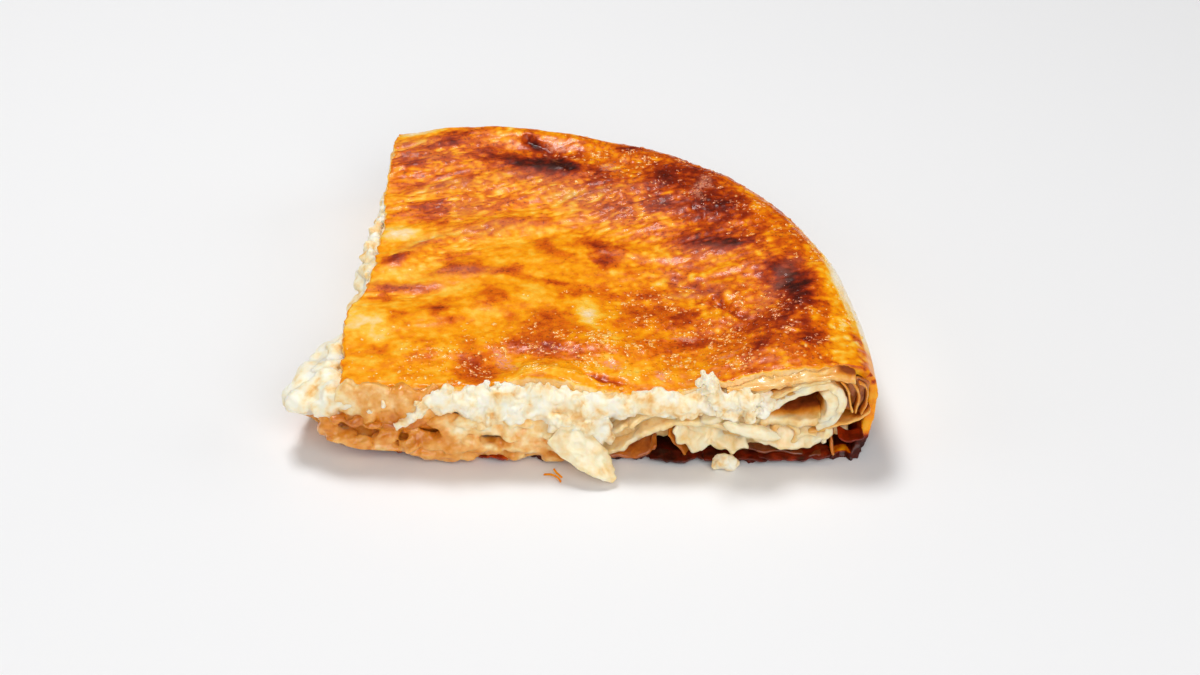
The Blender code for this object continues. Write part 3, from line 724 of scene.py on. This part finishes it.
def smooth_line(stops, count):
    """count points along a smooth curve through the stops."""
    stops = np.array(stops, float)
    ends = np.vstack((2 * stops[0] - stops[1], stops, 2 * stops[-1] - stops[-2]))
    steps = np.linspace(0, len(stops) - 1.0001, count)
    whole = steps.astype(int)
    t = (steps - whole)[:, None]
    before, start, end, after = (ends[whole + shift] for shift in range(4))
    bend = 2 * before - 5 * start + 4 * end - after
    twist = 3 * start - before - 3 * end + after
    return start + 0.5 * ((end - before) * t + bend * t**2 + twist * t**3)


def push_out(piece, rise):
    """Moves each of the piece's points out by its rise, in mm."""
    put_places(piece, places(piece) + outward(piece) * rise[:, None])


def mass(blobs, name, grid, smoothing=0):
    """Blobs grown together into one mass. Each is x, y and z, and its three sizes, in mm."""

    def knobbly(ball, blob):
        start = np.array([generator.uniform(0, 90) for _ in range(3)])
        spots = (2.2 * ball + start).tolist()
        rough = [1 + KNOBBLY * noise.fractal(spot, 0.8, 2.0, 2) for spot in spots]
        return ball * np.array(rough)[:, None] * blob[3:] + blob[:3]

    lump = balls(blobs, knobbly, subdivisions=3, name=name)
    apply_modifier(lump, "REMESH", mode="VOXEL", voxel_size=grid)
    if smoothing:
        apply_modifier(lump, "SMOOTH", factor=0.5, iterations=smoothing)
    return lump


def sheet(edge, run, thickness, toasted=0.0, ragged=0.7, curl=0.0, wavy=0.8, layer=20):
    """A sheet of dough. edge is its front edge, as x and z on the front cut or as x, y and z, and
    run is how far and which way it goes from there. curl bends it down on its way, and toasted is
    how browned it is."""
    edge = np.array([stop if len(stop) == 3 else (stop[0], FRONT, stop[1]) for stop in edge], float)
    length = np.linalg.norm(np.diff(edge, axis=0), axis=1).sum()
    depth = np.linalg.norm(run)
    columns = max(6, int(length / SHEET_GRID))
    rows = max(4, int(depth / SHEET_GRID))
    bpy.ops.mesh.primitive_grid_add(x_subdivisions=columns, y_subdivisions=rows, size=MM)
    piece = bpy.context.active_object
    flat = places(piece) + MIDDLE
    u = flat[:, 0] + 0.5
    v = flat[:, 1] + 0.5
    line = smooth_line(edge, columns + 1)
    front = line[np.clip(np.rint(u * columns).astype(int), 0, columns)]
    moved = front + v[:, None] * np.array(run, float)
    moved[:, 2] -= curl * v * v
    along = np.stack((u * length, 0 * u, 0 * u), 1)
    frayed = lumps(along, 3.0, layer) + 0.5 * lumps(along, 1.2, layer + 7)
    moved -= (1 - v)[:, None] ** 3 * np.array(run)[None, :] / depth * (ragged * frayed)[:, None]
    wave = wander(moved, 6.0, layer + 1) + 0.6 * wander(moved, 2.4, layer + 4)
    put_places(piece, moved + wavy * wave)
    paint(piece, "toasted", toasted + 0.05 * lumps(moved, 4, layer + 8))
    apply_modifier(piece, "SOLIDIFY", thickness=thickness * MM, offset=0)
    apply_modifier(piece, "SUBSURF", levels=1, render_levels=1)
    points = places(piece)
    uneven = 0.32 * min(1, thickness / 1.5) * lumps(points, 3, layer + 9)
    points += outward(piece) * uneven[:, None]
    points[:, 2] = np.maximum(points[:, 2], corner_floor(points))
    put_places(piece, points)
    return piece


def sheets(entries, layer):
    return [sheet(**entry, layer=layer + 12 * index) for index, entry in enumerate(entries)]


BED_SHEETS = (
    # The long slab under the cheese, whose edge rises to the right
    dict(
        edge=(
            (-1, 2.6), (5, 3.8), (10, 6.4), (13.5, 9.2),
            (17, 11.3), (22, 12.6), (30, 12.8), (37, 12.0),
        ),
        run=(1, 12, 2.5), thickness=1.9, toasted=0.06,
    ),
    # Two folds that hang below it, with dark gaps between
    dict(
        edge=(
            (21, 9.6), (23.4, 7.6), (26.6, 3.4), (29.6, 3.8),
            (32, 5.8), (35, 5.4), (39, 3.4), (43, 4.0),
        ),
        run=(0, 5, 9), thickness=1.3, ragged=1.5, wavy=1.5,
    ),
    dict(
        edge=((19.2, 9.4), (21, 6.8), (23, 4.0), (25.2, 1.2)),
        run=(3, 7, 2), thickness=0.8, toasted=0.44,
    ),
    # The browned leaf that shows under the slab
    dict(
        edge=((1, 1.6), (6, 1.4), (11, 2.2), (15, 3.8), (16.2, 6.6)),
        run=(0, 6, 1.5), thickness=1.2, toasted=0.55,
    ),
    dict(
        edge=((42, 4.4), (48, 3.0), (55, 2.6), (60, 2.4), (65, 1.8)),
        run=(0, 12, 1.0), thickness=0.8, toasted=0.68,
    ),
    # Soft dough at the foot of the roll
    dict(
        edge=((44, 7.6), (48, 6.0), (53, 5.0), (58, 4.6), (62, 5.2), (65, 7.8), (66.5, 10.6)),
        run=(0, 4, 6), thickness=2.6,
    ),
    dict(
        edge=((57, 8.2), (60, 9.4), (63, 8.2), (65, 5.2)),
        run=(0, 5, 3), thickness=2.0, toasted=0.06,
    ),
    dict(
        edge=((67.6, 2.0), (67.2, 5.0), (67.0, 8.0), (67.6, 11.0)),
        run=(0, 9, 0.5), thickness=0.9, toasted=0.5,
    ),
    # Wet sheets over the slab, up to the cheese
    dict(
        edge=((2, 9.0), (8, 12.0), (12, 15.0), (19, 16.4), (27, 15.2)),
        run=(0, 10, 1), thickness=1.8, toasted=0.06,
    ),
    dict(
        edge=((14, 18.4), (20, 16.2), (26, 18.6), (33, 17.4)),
        run=(0, 8, 2), thickness=1.8, toasted=0.04,
    ),
    dict(
        edge=((28, 12.0), (33, 15.0), (38, 15.8), (43, 13.4), (47, 14.4)),
        run=(0, 9, 1.5), thickness=2.2,
    ),
)
# Torn dough is grown from blobs that overlap, each longer along the cut than it is high
TORN_SHAPE = ((0.9, 2.0), (0.8, 1.3), (0.6, 1.0))
TORN_OVERLAP = 1.7
# It runs from the browned corner to the tongue: x and z along it, how thick and how browned
TORN_LINES = (
    (((-80, 14.6), (-75, 15.0), (-68, 14.4), (-60, 11.6), (-53, 10.6), (-45, 9.4)), 2.8, 0.38),
    (((-79, 11.6), (-74, 9.4), (-69, 7.8), (-63, 8.4)), 5.6, 0.22),
    (((-73, 5.0), (-65, 4.4), (-56, 3.8), (-46, 3.4)), 4.2, 0.2),
    (((-60, 7.2), (-52, 7.6), (-45, 7.0), (-38, 7.8)), 5.8, 0.25),
    (((-46, 3.0), (-36, 3.2), (-24, 3.0), (-14, 2.8), (-5, 3.0)), 4.0, 0.24),
    (((-39, 7.2), (-30, 6.6), (-22, 6.8), (-14, 6.4), (-8, 6.8)), 5.6, 0.17),
    (((-42, 11.4), (-34, 12.0), (-26, 11.2), (-18, 11.4), (-12, 11.4), (-6, 12.4)), 5.4, 0.06),
    (((-46, 14.6), (-38, 15.0), (-30, 14.2), (-20, 14.0), (-10, 14.4)), 5.0, 0.08),
)
torn = []
torn_bake = []
for line, size, browned in TORN_LINES:
    for spot in smooth_line(line, int(TORN_OVERLAP * (line[-1][0] - line[0][0]) / size)):
        x = spot[0] + generator.uniform(-1, 1)
        y = FRONT + 2.0 * ease(-74, -86, x) + generator.uniform(-1.2, 2.4)
        z = spot[1] + generator.uniform(-0.9, 0.9)
        torn.append((x, y, z, *(size * generator.uniform(*limits) for limits in TORN_SHAPE)))
        torn_bake.append(browned + generator.uniform(-0.05, 0.07))
torn_dough = mass(torn, "torn_dough", TORN_GRID, smoothing=5)
points = places(torn_dough)
rise = 0.5 * lumps(points, 5, 34) + 0.22 * lumps(points, 2.2, 35)
rise += 0.3 * (folds(points, 5, 36) - 0.6)
points += outward(torn_dough) * rise[:, None]
points[:, 2] = np.maximum(points[:, 2], corner_floor(points))
put_places(torn_dough, points)
closeness = np.exp(-np.linalg.norm(points[:, None] - np.array(torn)[:, :3], axis=2) / 1.2)
browning = closeness @ np.array(torn_bake) / closeness.sum(1)
paint(torn_dough, "toasted", browning + 0.13 * lumps(points, 3, 37))
bed = remeshed_core("dough_bed", "bed", BED_GRID, seen=14, set_back=BED_SET_BACK)
points = places(bed)
close = near_cut(points, 12)
rise = close * (0.9 * lumps(points, (6, 6, 3), 31) + 0.4 * lumps(points, 2.2, 32))
push_out(bed, rise)
browned_corner = 0.3 * ease(-40, -58, points[:, 0]) * ease(30, 5, cut_distances(points)[0])
paint(bed, "toasted", 0.1 + browned_corner + 0.12 * lumps(points, 8, 33))
bed = join([bed, torn_dough, *sheets(BED_SHEETS, 40)], "boiled_sheets")


def boiled_dough():
    """Boiled wheat dough: cream, wet and slightly see-through, so that light sinks into it."""
    finish, tree = new_material("boiled_dough")
    where = add_node(tree, "TexCoord", out="Object")
    toasted = add_node(tree, "Attribute", {"attribute_name": "toasted"}, "Fac")
    cloud = add_node(tree, "TexNoise", Vector=where, Scale=1 / (4 * MM), Detail=4.0, Roughness=0.6)
    mottled = add_node(tree, "Math", {"operation": "MULTIPLY_ADD"}, _0=cloud, _1=0.46, _2=-0.18)
    total = add_node(tree, "Math", {"operation": "ADD"}, _0=toasted, _1=mottled)
    stops = (
        (0.0, "#FFF0CE"),
        (0.13, "#FDD797"),
        (0.25, "#F3B35C"),
        (0.38, "#E5922A"),
        (0.5, "#CF761E"),
        (0.66, "#964514"),
        (0.82, "#54200F"),
        (1.0, "#220B08"),
    )
    colour = add_node(tree, "ValToRGB", stops=stops, Fac=total)
    fine = add_node(tree, "TexNoise", Vector=where, Scale=1 / (1.5 * MM), Detail=3.0)
    bump = add_node(tree, "Bump", Strength=0.3, Distance=0.3 * MM, Height=fine)
    shader = add_node(
        tree,
        "BsdfPrincipled",
        Base_Color=colour,
        Roughness=0.34,
        IOR=1.4,
        Subsurface_Weight=0.45,
        Subsurface_Radius=(1.0, 0.72, 0.42),
        Subsurface_Scale=2.0 * MM,
        Coat_Weight=0.5,
        Coat_Roughness=0.08,
        Normal=bump,
    )
    surface(tree, shader)
    return finish


dough = boiled_dough()
dress(bed, dough, "dough_bed")

# The cheese
# Fresh white cheese, crumbled by hand: grains from the size of a pinhead to that of a hazelnut,
# pressed into one soft mass, and loose where the knife dragged them out.

CURD_GRID = 0.42 * MM
LEFT_CURD_GRID = 0.6 * MM
CHEESE_SET_BACK = 2.4
FRONT_CRUMBS = 520
STREAK_CRUMBS = 26
HEAPED_CRUMBS = 34
ROOT_CRUMBS = 80
LEFT_CRUMBS = 260
# How wide the crumbs are, in each place
FRONT_SIZES = (1.6, 2.2, 3.0, 4.0, 5.0, 6.5)
STREAK_SIZES = (1.3, 1.8, 2.6)
HEAPED_SIZES = (1.8, 2.6, 3.6)
LEFT_SIZES = (2.2, 3.2, 4.5, 6.5)


def crumb(x, y, z, size):
    """A blob of about the given size, longer one way than another."""
    return (x, y, z, *(size * generator.uniform(0.75, 1.3) for _ in range(3)))


def grains(points, size, layer):
    """1 on the middle of a rounded grain, and 0 in the creases between grains."""
    spots = (points / size + 9.1 * layer).tolist()
    nearest, second = np.array([noise.voronoi(spot)[0][:2] for spot in spots]).T
    return np.sqrt(np.clip((second - nearest) * 2.2, 0, 1))


def crumble(piece, coarse, fine):
    """Breaks a mass of cheese up into grains. coarse and fine are how far they stand out. The
    creases between them are stored for painted shade."""
    points = places(piece)
    strayed = points + 0.7 * wander(points, 2.5, 51, 2)
    clods = grains(strayed, 3.2, 54)
    rise = coarse * (clods - 0.7) + fine * (grains(strayed, 1.4, 55) - 0.7)
    rise *= 0.25 + 0.95 * ease(-0.2, 0.2, lumps(points, 8, 57, 2))
    rise += 0.3 * lumps(points, 5, 56)
    push_out(piece, rise)
    # Painted shade: how deep in a crease between grains each point lies
    paint(piece, "crease_shade", 1 - clods)


# How high and how low the loose curds stand along the front cut, at each x
CURD_TOPS = (
    (-46, 22), (-36, 24.6), (-27, 26), (-19, 25.4), (-8, 24.4), (0, 22.8), (20, 22.6), (50, 23),
)
CURD_FEET = ((-46, 18), (-36, 12.5), (-24, 12.5), (-8, 11.5), (0, 14), (12, 17), (50, 17))
front_crumbs = []
for step in range(FRONT_CRUMBS):
    x = generator.uniform(-46, 50)
    high = read_off(CURD_TOPS, x)
    low = read_off(CURD_FEET, x)
    size = generator.choice(FRONT_SIZES)
    z = generator.uniform(low + size / 2, high - size / 2)
    y = generator.uniform(-64.6, -61.5) + 0.12 * (z - low)
    sparse = x > 4 and generator.random() < 0.35
    if not sparse:
        front_crumbs.append(crumb(x, y, z, size))
# A streak of curd runs down across the browned corner, and a few grains lie on the crust's edge
for share in np.linspace(0, 1, STREAK_CRUMBS):
    x = -58.5 + 15 * share + generator.uniform(-0.7, 0.7)
    z = 13.0 + 13 * share**1.15 + generator.uniform(-0.7, 0.7)
    size = generator.choice(STREAK_SIZES) + 1.2 * share
    front_crumbs.append(crumb(x, -65.8 + 1.6 * share, z, size))
LONE_GRAINS = (
    (-62, 21, 2.2), (-66, 18.5, 1.6), (-55, 18, 1.4), (-52.5, 21.5, 1.8), (-70, 15.6, 1.6),
)
for x, z, size in LONE_GRAINS:
    front_crumbs.append(crumb(x, -65.4, z, size))
for x, size in ((-40.5, 1.3), (-32.5, 1.8), (-29.6, 1.4)):
    front_crumbs.append(crumb(x, -61.2, 25.6, size))
# Curds heaped below the perched clump
for step in range(HEAPED_CRUMBS):
    x = generator.uniform(31, 48)
    z = generator.uniform(16.5, 25.0 - 0.2 * abs(x - 34))
    front_crumbs.append(crumb(x, generator.uniform(-66, -64), z, generator.choice(HEAPED_SIZES)))
# A clump lies on the root of the tongue
for step in range(ROOT_CRUMBS):
    x = generator.uniform(-13, 4)
    z = 12.6 + generator.uniform(-2.4, 3.0) - 0.2 * x
    y = -68.2 + generator.uniform(0, 2.8)
    front_crumbs.append(crumb(x, y, z, generator.choice(HEAPED_SIZES)))
front_curds = mass(front_crumbs, "front_curds", CURD_GRID, smoothing=4)
crumble(front_curds, coarse=0.5, fine=0.25)

# The corner where the two cuts meet is one soft white mass, and big curds bulge out of the left cut
corner = [
    (-88.5, -57, 15.2, 6, 8, 5), (-86, -56, 15.6, 9, 11, 7), (-82.5, -55, 16.4, 11, 13, 9),
    (-79, -53, 17.4, 12, 14, 10), (-78, -58, 18.4, 10, 9, 9), (-74.5, -61, 19.4, 10, 6, 8),
    (-79, -45, 17.2, 12, 14, 9), (-77.5, -36, 17.6, 10, 12, 9), (-84, -50, 13.5, 10, 12, 6),
    (-79, -62, 16.6, 9, 5, 6),
]
# How far the big curds stick out of the left cut, at each y
LEFT_OUT = (
    (-34, 6.0), (-25, 4.5), (-18, 0.8), (-4, 0.4), (6, 1.8), (16, 4.6), (28, 4.4), (38, 2.0),
    (50, 2.2), (62, 1.0),
)
for step in range(LEFT_CRUMBS):
    y = generator.uniform(-36, 62)
    out = read_off(LEFT_OUT, y) * generator.uniform(0.3, 1.0)
    size = generator.choice(LEFT_SIZES)
    x = CUT_CORNER[0] + LEFT_CUT_LEAN * (y - CUT_CORNER[1]) + size / 2 - out
    corner.append(crumb(x, y, generator.uniform(11.5, 23.0 - 0.65 * size), size))
left_curds = mass(corner, "left_curds", LEFT_CURD_GRID, smoothing=4)
crumble(left_curds, coarse=0.35, fine=0.3)
filling = remeshed_core("cheese_filling", "filling", BED_GRID, seen=8, set_back=CHEESE_SET_BACK)
filling = join([filling, front_curds, left_curds], "crumbled_cheese")


def fresh_cheese():
    """Fresh white cheese: matt, close to white, with cream shadows where light sinks in."""
    finish, tree = new_material("fresh_cheese")
    where = add_node(tree, "TexCoord", out="Object")
    crease_shade = add_node(tree, "Attribute", {"attribute_name": "crease_shade"}, "Fac")
    cloud = add_node(tree, "TexNoise", Vector=where, Scale=1 / (5 * MM), Detail=4.0)
    # Painted shade: the creases between grains are drawn darker and amber
    shaded_cloud = add_node(tree, "Math", {"operation": "MULTIPLY_ADD"}, _0=crease_shade, _1=-0.1, _2=cloud)
    stops = ((0.24, "#EDB463"), (0.36, "#FBDAA2"), (0.46, "#FFEECC"), (0.6, "#FFF8E6"))
    colour = add_node(tree, "ValToRGB", stops=stops, Fac=shaded_cloud)
    grain = add_node(
        tree, "TexNoise", Vector=where, Scale=1 / (0.8 * MM), Detail=4.0, Roughness=0.65
    )
    bump = add_node(tree, "Bump", Strength=0.45, Distance=0.3 * MM, Height=grain)
    shader = add_node(
        tree,
        "BsdfPrincipled",
        Base_Color=colour,
        Roughness=0.5,
        IOR=1.4,
        Subsurface_Weight=0.4,
        Subsurface_Radius=(1.0, 0.78, 0.5),
        Subsurface_Scale=1.6 * MM,
        Normal=bump,
    )
    surface(tree, shader)
    return finish


cheese = fresh_cheese()
dress(filling, cheese, "cheese_filling")

# The rolled leaves
# The ends of the sheets, folded in along the rim so that the cheese stays in. Cut across, they
# show as nested leaves round an empty fold, thin and amber outside, thick and cream inside.

ROLL_SET_BACK = 5.5
ROLL_SHEETS = (
    # The thick leaf that arches over the empty fold
    dict(
        edge=(
            (44.5, 15.6), (48, 18.0), (51.5, 20.6), (56, 23.4), (61, 25.6),
            (65.6, 26.0), (68.6, 24.0), (69.6, 20.6), (68.6, 16.8), (66, 13.6), (62.5, 11.6),
        ),
        run=(-1, 12, 0.5), thickness=2.6, wavy=0.5,
    ),
    # Its broad right flank
    dict(
        edge=((64.6, 24.4), (66.8, 21.8), (67.0, 18.6), (65.8, 15.4), (63.0, 13.2)),
        run=(-2.5, 9, 0), thickness=3.6, wavy=0.5,
    ),
    # The floor of the fold, rising to the back
    dict(
        edge=((46, 13.8), (50, 13.4), (55, 13.2), (60, 13.6), (64, 14.4)),
        run=(0, 12, 3.5), thickness=3.0, toasted=0.08,
    ),
    # Its far wall, browned darker as painted shade in the fold
    dict(
        edge=((48, -51, 14), (54, -51, 14), (60, -51, 14), (65, -51, 14)),
        run=(0, 1.5, 12), thickness=1.2, toasted=0.48,
    ),
    # Thin nested leaves along the rim
    dict(
        edge=((68.6, 28.0), (70.4, 26.2), (71.4, 23.6), (71.8, 20.4), (72.6, 17.0)),
        run=(-1, 8, 0), thickness=0.8, toasted=0.28, wavy=0.35,
    ),
    dict(
        edge=((71.2, 28.2), (73.0, 26.4), (73.8, 23.8), (74.0, 20.4), (73.4, 16.8)),
        run=(-1, 8, 0), thickness=0.8, toasted=0.3, wavy=0.35,
    ),
    dict(
        edge=((73.8, 27.6), (75.8, 26.0), (76.6, 23.2), (76.4, 20.0), (74.8, 16.4)),
        run=(-1, 8, 0), thickness=0.7, toasted=0.36, wavy=0.35,
    ),
    # The amber leaf behind them
    dict(
        edge=((67, -61.6, 28), (72, -61.6, 28.2), (77, -61.6, 26.5)),
        run=(0, 1, -12), thickness=1.0, toasted=0.06, wavy=0.4,
    ),
    # Leaves between the arch and the crust
    dict(
        edge=((36, 23.4), (44, 25.0), (52, 27.0), (60, 28.6), (68, 29.2), (73, 28.6)),
        run=(0, 9, 0.4), thickness=1.3, toasted=0.16, wavy=0.7,
    ),
    dict(
        edge=(
            (37, -63.4, 22.2), (45, -63.6, 23.7), (53, -63.6, 25.7),
            (61, -63.4, 27.4), (69, -63, 28),
        ),
        run=(0, 9, 0.4), thickness=1.5, toasted=0.12, wavy=0.7,
    ),
    dict(
        edge=((42, 20.4), (48, 22.0), (54, 24.6), (60, 27.2), (66, 28.2)),
        run=(0, 9, 0.2), thickness=1.1, toasted=0.1, wavy=0.5,
    ),
    dict(
        edge=((44, 18.4), (49, 20.6), (54, 23.2), (59, 25.8)),
        run=(0, 8, 0.6), thickness=0.9, toasted=0.2, wavy=0.4,
    ),
    # The thin leaf under the roll, and the curled end at its foot
    dict(
        edge=((60, 10.4), (65, 11.4), (70, 13.2), (75, 15.2), (77.6, 18.0)),
        run=(0, 9, 0), thickness=1.0, toasted=0.22, wavy=0.4,
    ),
    dict(
        edge=(
            (49.6, 9.0), (50.6, 12.0), (53.5, 13.0), (56.4, 11.6),
            (57.0, 8.4), (54.8, 5.8), (51.6, 6.0), (49.6, 9.0),
        ),
        run=(0, 8, 0), thickness=1.6, toasted=0.12, ragged=0.2, wavy=0.3,
    ),
)
roll = remeshed_core("rim_roll", "roll", BED_GRID, seen=12, set_back=ROLL_SET_BACK)
points = places(roll)
rise = near_cut(points, 14) * (0.5 * lumps(points, 6, 71) + 0.25 * lumps(points, 2.0, 72))
push_out(roll, rise)
amber_end = 0.34 * ease(64, 70, points[:, 0]) * ease(14, 3, cut_distances(points)[0])
paint(roll, "toasted", 0.12 + amber_end + 0.1 * lumps(points, 9, 73))
roll = join([roll, *sheets(ROLL_SHEETS, 300)], "rolled_leaves")

# Inside the empty fold the dough is browned as painted shade, and between the nested leaves it is
# painted amber
browning = roll.data.attributes["toasted"].data
toasted = np.empty(len(browning), np.float32)
browning.foreach_get("value", toasted)
x, y, z = places(roll).T
deep = y - FRONT
fold_shade = ease(45, 50, x) * ease(67, 63, x) * ease(11.5, 13.5, z) * ease(26, 23, z)
fold_shade *= ease(0.8, 5, deep)
nested = ease(66, 69, x) * ease(13, 16, z) * ease(0.6, 3.0, deep)
browning.foreach_set("value", toasted + 0.58 * np.maximum(fold_shade, 0.8 * nested))
dress(roll, dough, "rim_roll")

# The browned end of dough
# Thick soft dough at the left end of the front cut, where it lay against the pan: tan to orange,
# glossy, and torn off under the crust.

BROWNED_GRID = 0.5 * MM
BROWNED_END = (
    (-72, -61.2, 20, 10, 6, 12), (-65, -61.4, 19.4, 12, 7, 13), (-57, -61.4, 19, 12, 7, 13),
    (-50, -61.2, 18.6, 10, 6, 12), (-70, -62, 15.4, 12, 6, 6), (-61, -62.2, 14.2, 13, 6, 6),
    (-53, -62, 13.4, 12, 6, 6), (-46, -61.6, 14, 7, 5, 7),
)
hanging = copy_of_solid("browned_leaf", "hanging_leaf")
hanging = join([hanging, mass(BROWNED_END, "browned_mass", BROWNED_GRID)], "browned_end")
apply_modifier(hanging, "REMESH", mode="VOXEL", voxel_size=BROWNED_GRID)
apply_modifier(hanging, "SMOOTH", factor=0.5, iterations=10)
points = places(hanging)
rise = 0.7 * lumps(points, 7, 81) + 0.35 * lumps(points, 2.6, 82)
rise += 0.5 * (grains(points, 5, 83) - 0.7)
push_out(hanging, rise)
x = points[:, 0]
z = points[:, 2]
toasted = 0.04 + 0.17 * ease(-78, -60, x) + 0.18 * ease(19, 13, z) + 0.08 * ease(22, 26, z)
toasted += 0.13 * lumps(points, 6, 84) + 0.05 * lumps(points, 2, 86)
paint(hanging, "toasted", toasted)
dress(hanging, dough, "browned_leaf")

# The flakes
# Flakes of burnt leaf stick out at the foot of the slice, where the knife broke the bottom leaf,
# and a few thin curls have dropped in front of it.

# The front edge of each flake, and how far it is baked
FOOT_FLAKES = (
    (
        (
            (-40, -63.6, 1.6), (-36, -64.4, 1.2), (-31, -64.8, 1.2),
            (-26, -64.4, 1), (-22, -63.6, 1.4),
        ),
        0.74,
    ),
    (((-33, -65.4, 1.8), (-29, -65.8, 2.0), (-25, -65.2, 1.6)), 0.62),
    (((14, -65.4, 1.4), (19, -66.0, 1.0), (25, -66.2, 1.2), (30, -65.4, 1.6)), 0.95),
    (((30, -65.6, 1.8), (37, -66.4, 1.0), (44, -66.4, 1.4), (50, -65.6, 1.0)), 0.9),
    (((46, -65.4, 2.4), (53, -66.2, 1.4), (60, -66.0, 1.6), (67, -65.0, 2.2)), 0.86),
    (((69, -64.4, 8.5), (73, -65.0, 7.0), (76.5, -64.4, 8.0)), 0.8),
)
flakes = []
for index, (edge, browned) in enumerate(FOOT_FLAKES):
    flake = sheet(edge, (0, 5, 1.2), thickness=0.6, wavy=0.7, ragged=1.2, layer=520 + 11 * index)
    paint(flake, "baked", browned + 0.15 * lumps(places(flake), 3, 85))
    flakes.append(flake)
# The flakes that have dropped, baked less
DROPPED_BAKE = 0.4
DROPPED_FLAKES = (
    ((-16.5, -71.5, 0.4), (-14.5, -72.2, 1.0), (-12.5, -73.6, 0.9), (-11.4, -75.4, 0.4)),
    ((-13.6, -70.4, 1.4), (-12.6, -72.2, 1.3), (-11, -73.8, 0.6)),
)
for index, edge in enumerate(DROPPED_FLAKES):
    flake = sheet(
        edge, (0.4, 0.6, 0.2), thickness=0.25, wavy=0.2, ragged=0.1, layer=620 + 11 * index
    )
    paint(flake, "baked", np.full(len(flake.data.vertices), DROPPED_BAKE))
    flakes.append(flake)
broken_flakes = join(flakes, "broken_flakes")
dress(broken_flakes, pastry, None)

# What slid out of the cut
# A limp tongue and a rolled finger of boiled dough, and two clumps of cheese.

SLID_GRID = 0.45 * MM
CLUMP_GRID = 0.38 * MM
CLUMP_CRUMBS = 90
CRUMB_GRID = 0.4 * MM
CLUMP_SIZES = (1.0, 1.5, 2.0, 2.6)
# Each limp end's solid, the name of its piece and its pattern of ridges
LIMP_ENDS = (("dough_tongue", "limp_tongue", 91), ("dough_finger", "rolled_finger", 94))
for node, name, layer in LIMP_ENDS:
    piece = copy_of_solid(node, name)
    apply_modifier(piece, "REMESH", mode="VOXEL", voxel_size=SLID_GRID)
    apply_modifier(piece, "SMOOTH", factor=0.5, iterations=8)
    points = places(piece)
    # Its ridges run the way it hangs
    along = points @ np.array(((0.8, -0.3, -0.55), (0.6, 0.4, 0.6), (0.0, 0.87, -0.6))).T
    rise = 0.5 * lumps(along, (9, 2.6, 3), layer) + 0.25 * lumps(points, 1.8, layer + 1)
    push_out(piece, rise)
    paint(piece, "toasted", 0.07 * lumps(points, 6, layer + 2))
    dress(piece, dough, node)

# Each clump's solid, the name of its piece and how far its crumbs reach to the solid's skin
CLUMPS = (("perched_curd", "perched_curds", 0.97), ("fallen_curd", "fallen_curds", 0.74))
for node, name, reach in CLUMPS:
    piece = copy_of_solid(node, name)
    points = places(piece)
    middle = points.mean(0)
    put_places(piece, middle + (reach - 0.3) * (points - middle))
    crumbs = []
    for spot in points[:: max(1, len(points) // CLUMP_CRUMBS)]:
        inner = middle + (spot - middle) * generator.uniform(reach - 0.3, reach)
        crumbs.append(crumb(*inner, generator.choice(CLUMP_SIZES)))
    piece = join([piece, mass(crumbs, name + "_crumbs", CRUMB_GRID, smoothing=2)], name)
    apply_modifier(piece, "REMESH", mode="VOXEL", voxel_size=CLUMP_GRID)
    crumble(piece, coarse=0.35, fine=0.25)
    points = places(piece)
    points[:, 2] = np.maximum(points[:, 2], 0)
    put_places(piece, points)
    dress(piece, cheese, node)

# The studio
# A pale table top under a small lamp overhead, a broad soft one in front and a weak one at each
# side, and the camera low over the front cut.

CAMERA_TILT = math.radians(34)
CAMERA_DISTANCE = 781
LENS = 75
SENSOR_WIDTH = 36
TABLE_SIZE = 3.0
TABLE_DROP = 0.2 * MM
SKY_STRENGTH = 0.06
bpy.ops.mesh.primitive_plane_add(size=TABLE_SIZE, location=(0, 0, -TABLE_DROP))
table = bpy.context.active_object
table.name = "table_top"
finish, tree = new_material("pale_table")
shader = add_node(tree, "BsdfPrincipled", Base_Color=linear("#F3F3F4"), Roughness=0.7, IOR=1.45)
surface(tree, shader)
table.data.materials.append(finish)


def soft_light(name, place, size, power):
    """An area light at a place in metres, aimed at the slice."""
    light = bpy.data.lights.new(name, "AREA")
    light.shape = "RECTANGLE"
    light.size, light.size_y = size
    light.energy = power
    holder = bpy.data.objects.new(name, light)
    holder.location = place
    holder.rotation_euler = (-Vector(place)).to_track_quat("-Z", "Y").to_euler()
    bpy.context.scene.collection.objects.link(holder)


soft_light("overhead", (-0.22, 0.35, 1.0), (0.35, 0.3), 6.9)
soft_light("front", (0.22, -1.0, 0.75), (1.3, 0.9), 10.6)
soft_light("right", (1.1, 0.1, 0.5), (0.8, 0.6), 2.6)
soft_light("left", (-1.1, -0.2, 0.5), (0.8, 0.6), 2.0)
world = bpy.data.worlds.new("studio")
world.use_nodes = True
background = world.node_tree.nodes["Background"]
background.inputs["Color"].default_value = linear("#FFFDF8")
background.inputs["Strength"].default_value = SKY_STRENGTH
bpy.context.scene.world = world
bpy.context.scene.view_settings.view_transform = "Standard"

camera = bpy.data.cameras.new("camera")
camera.lens = LENS
camera.sensor_width = SENSOR_WIDTH
camera_holder = bpy.data.objects.new("camera", camera)
away = Vector((0, -math.cos(CAMERA_TILT), math.sin(CAMERA_TILT))) * CAMERA_DISTANCE
camera_holder.location = (Vector(MIDDLE) + away) * MM
camera_holder.rotation_euler = (math.pi / 2 - CAMERA_TILT, 0, 0)
bpy.context.scene.collection.objects.link(camera_holder)
bpy.context.scene.camera = camera_holder
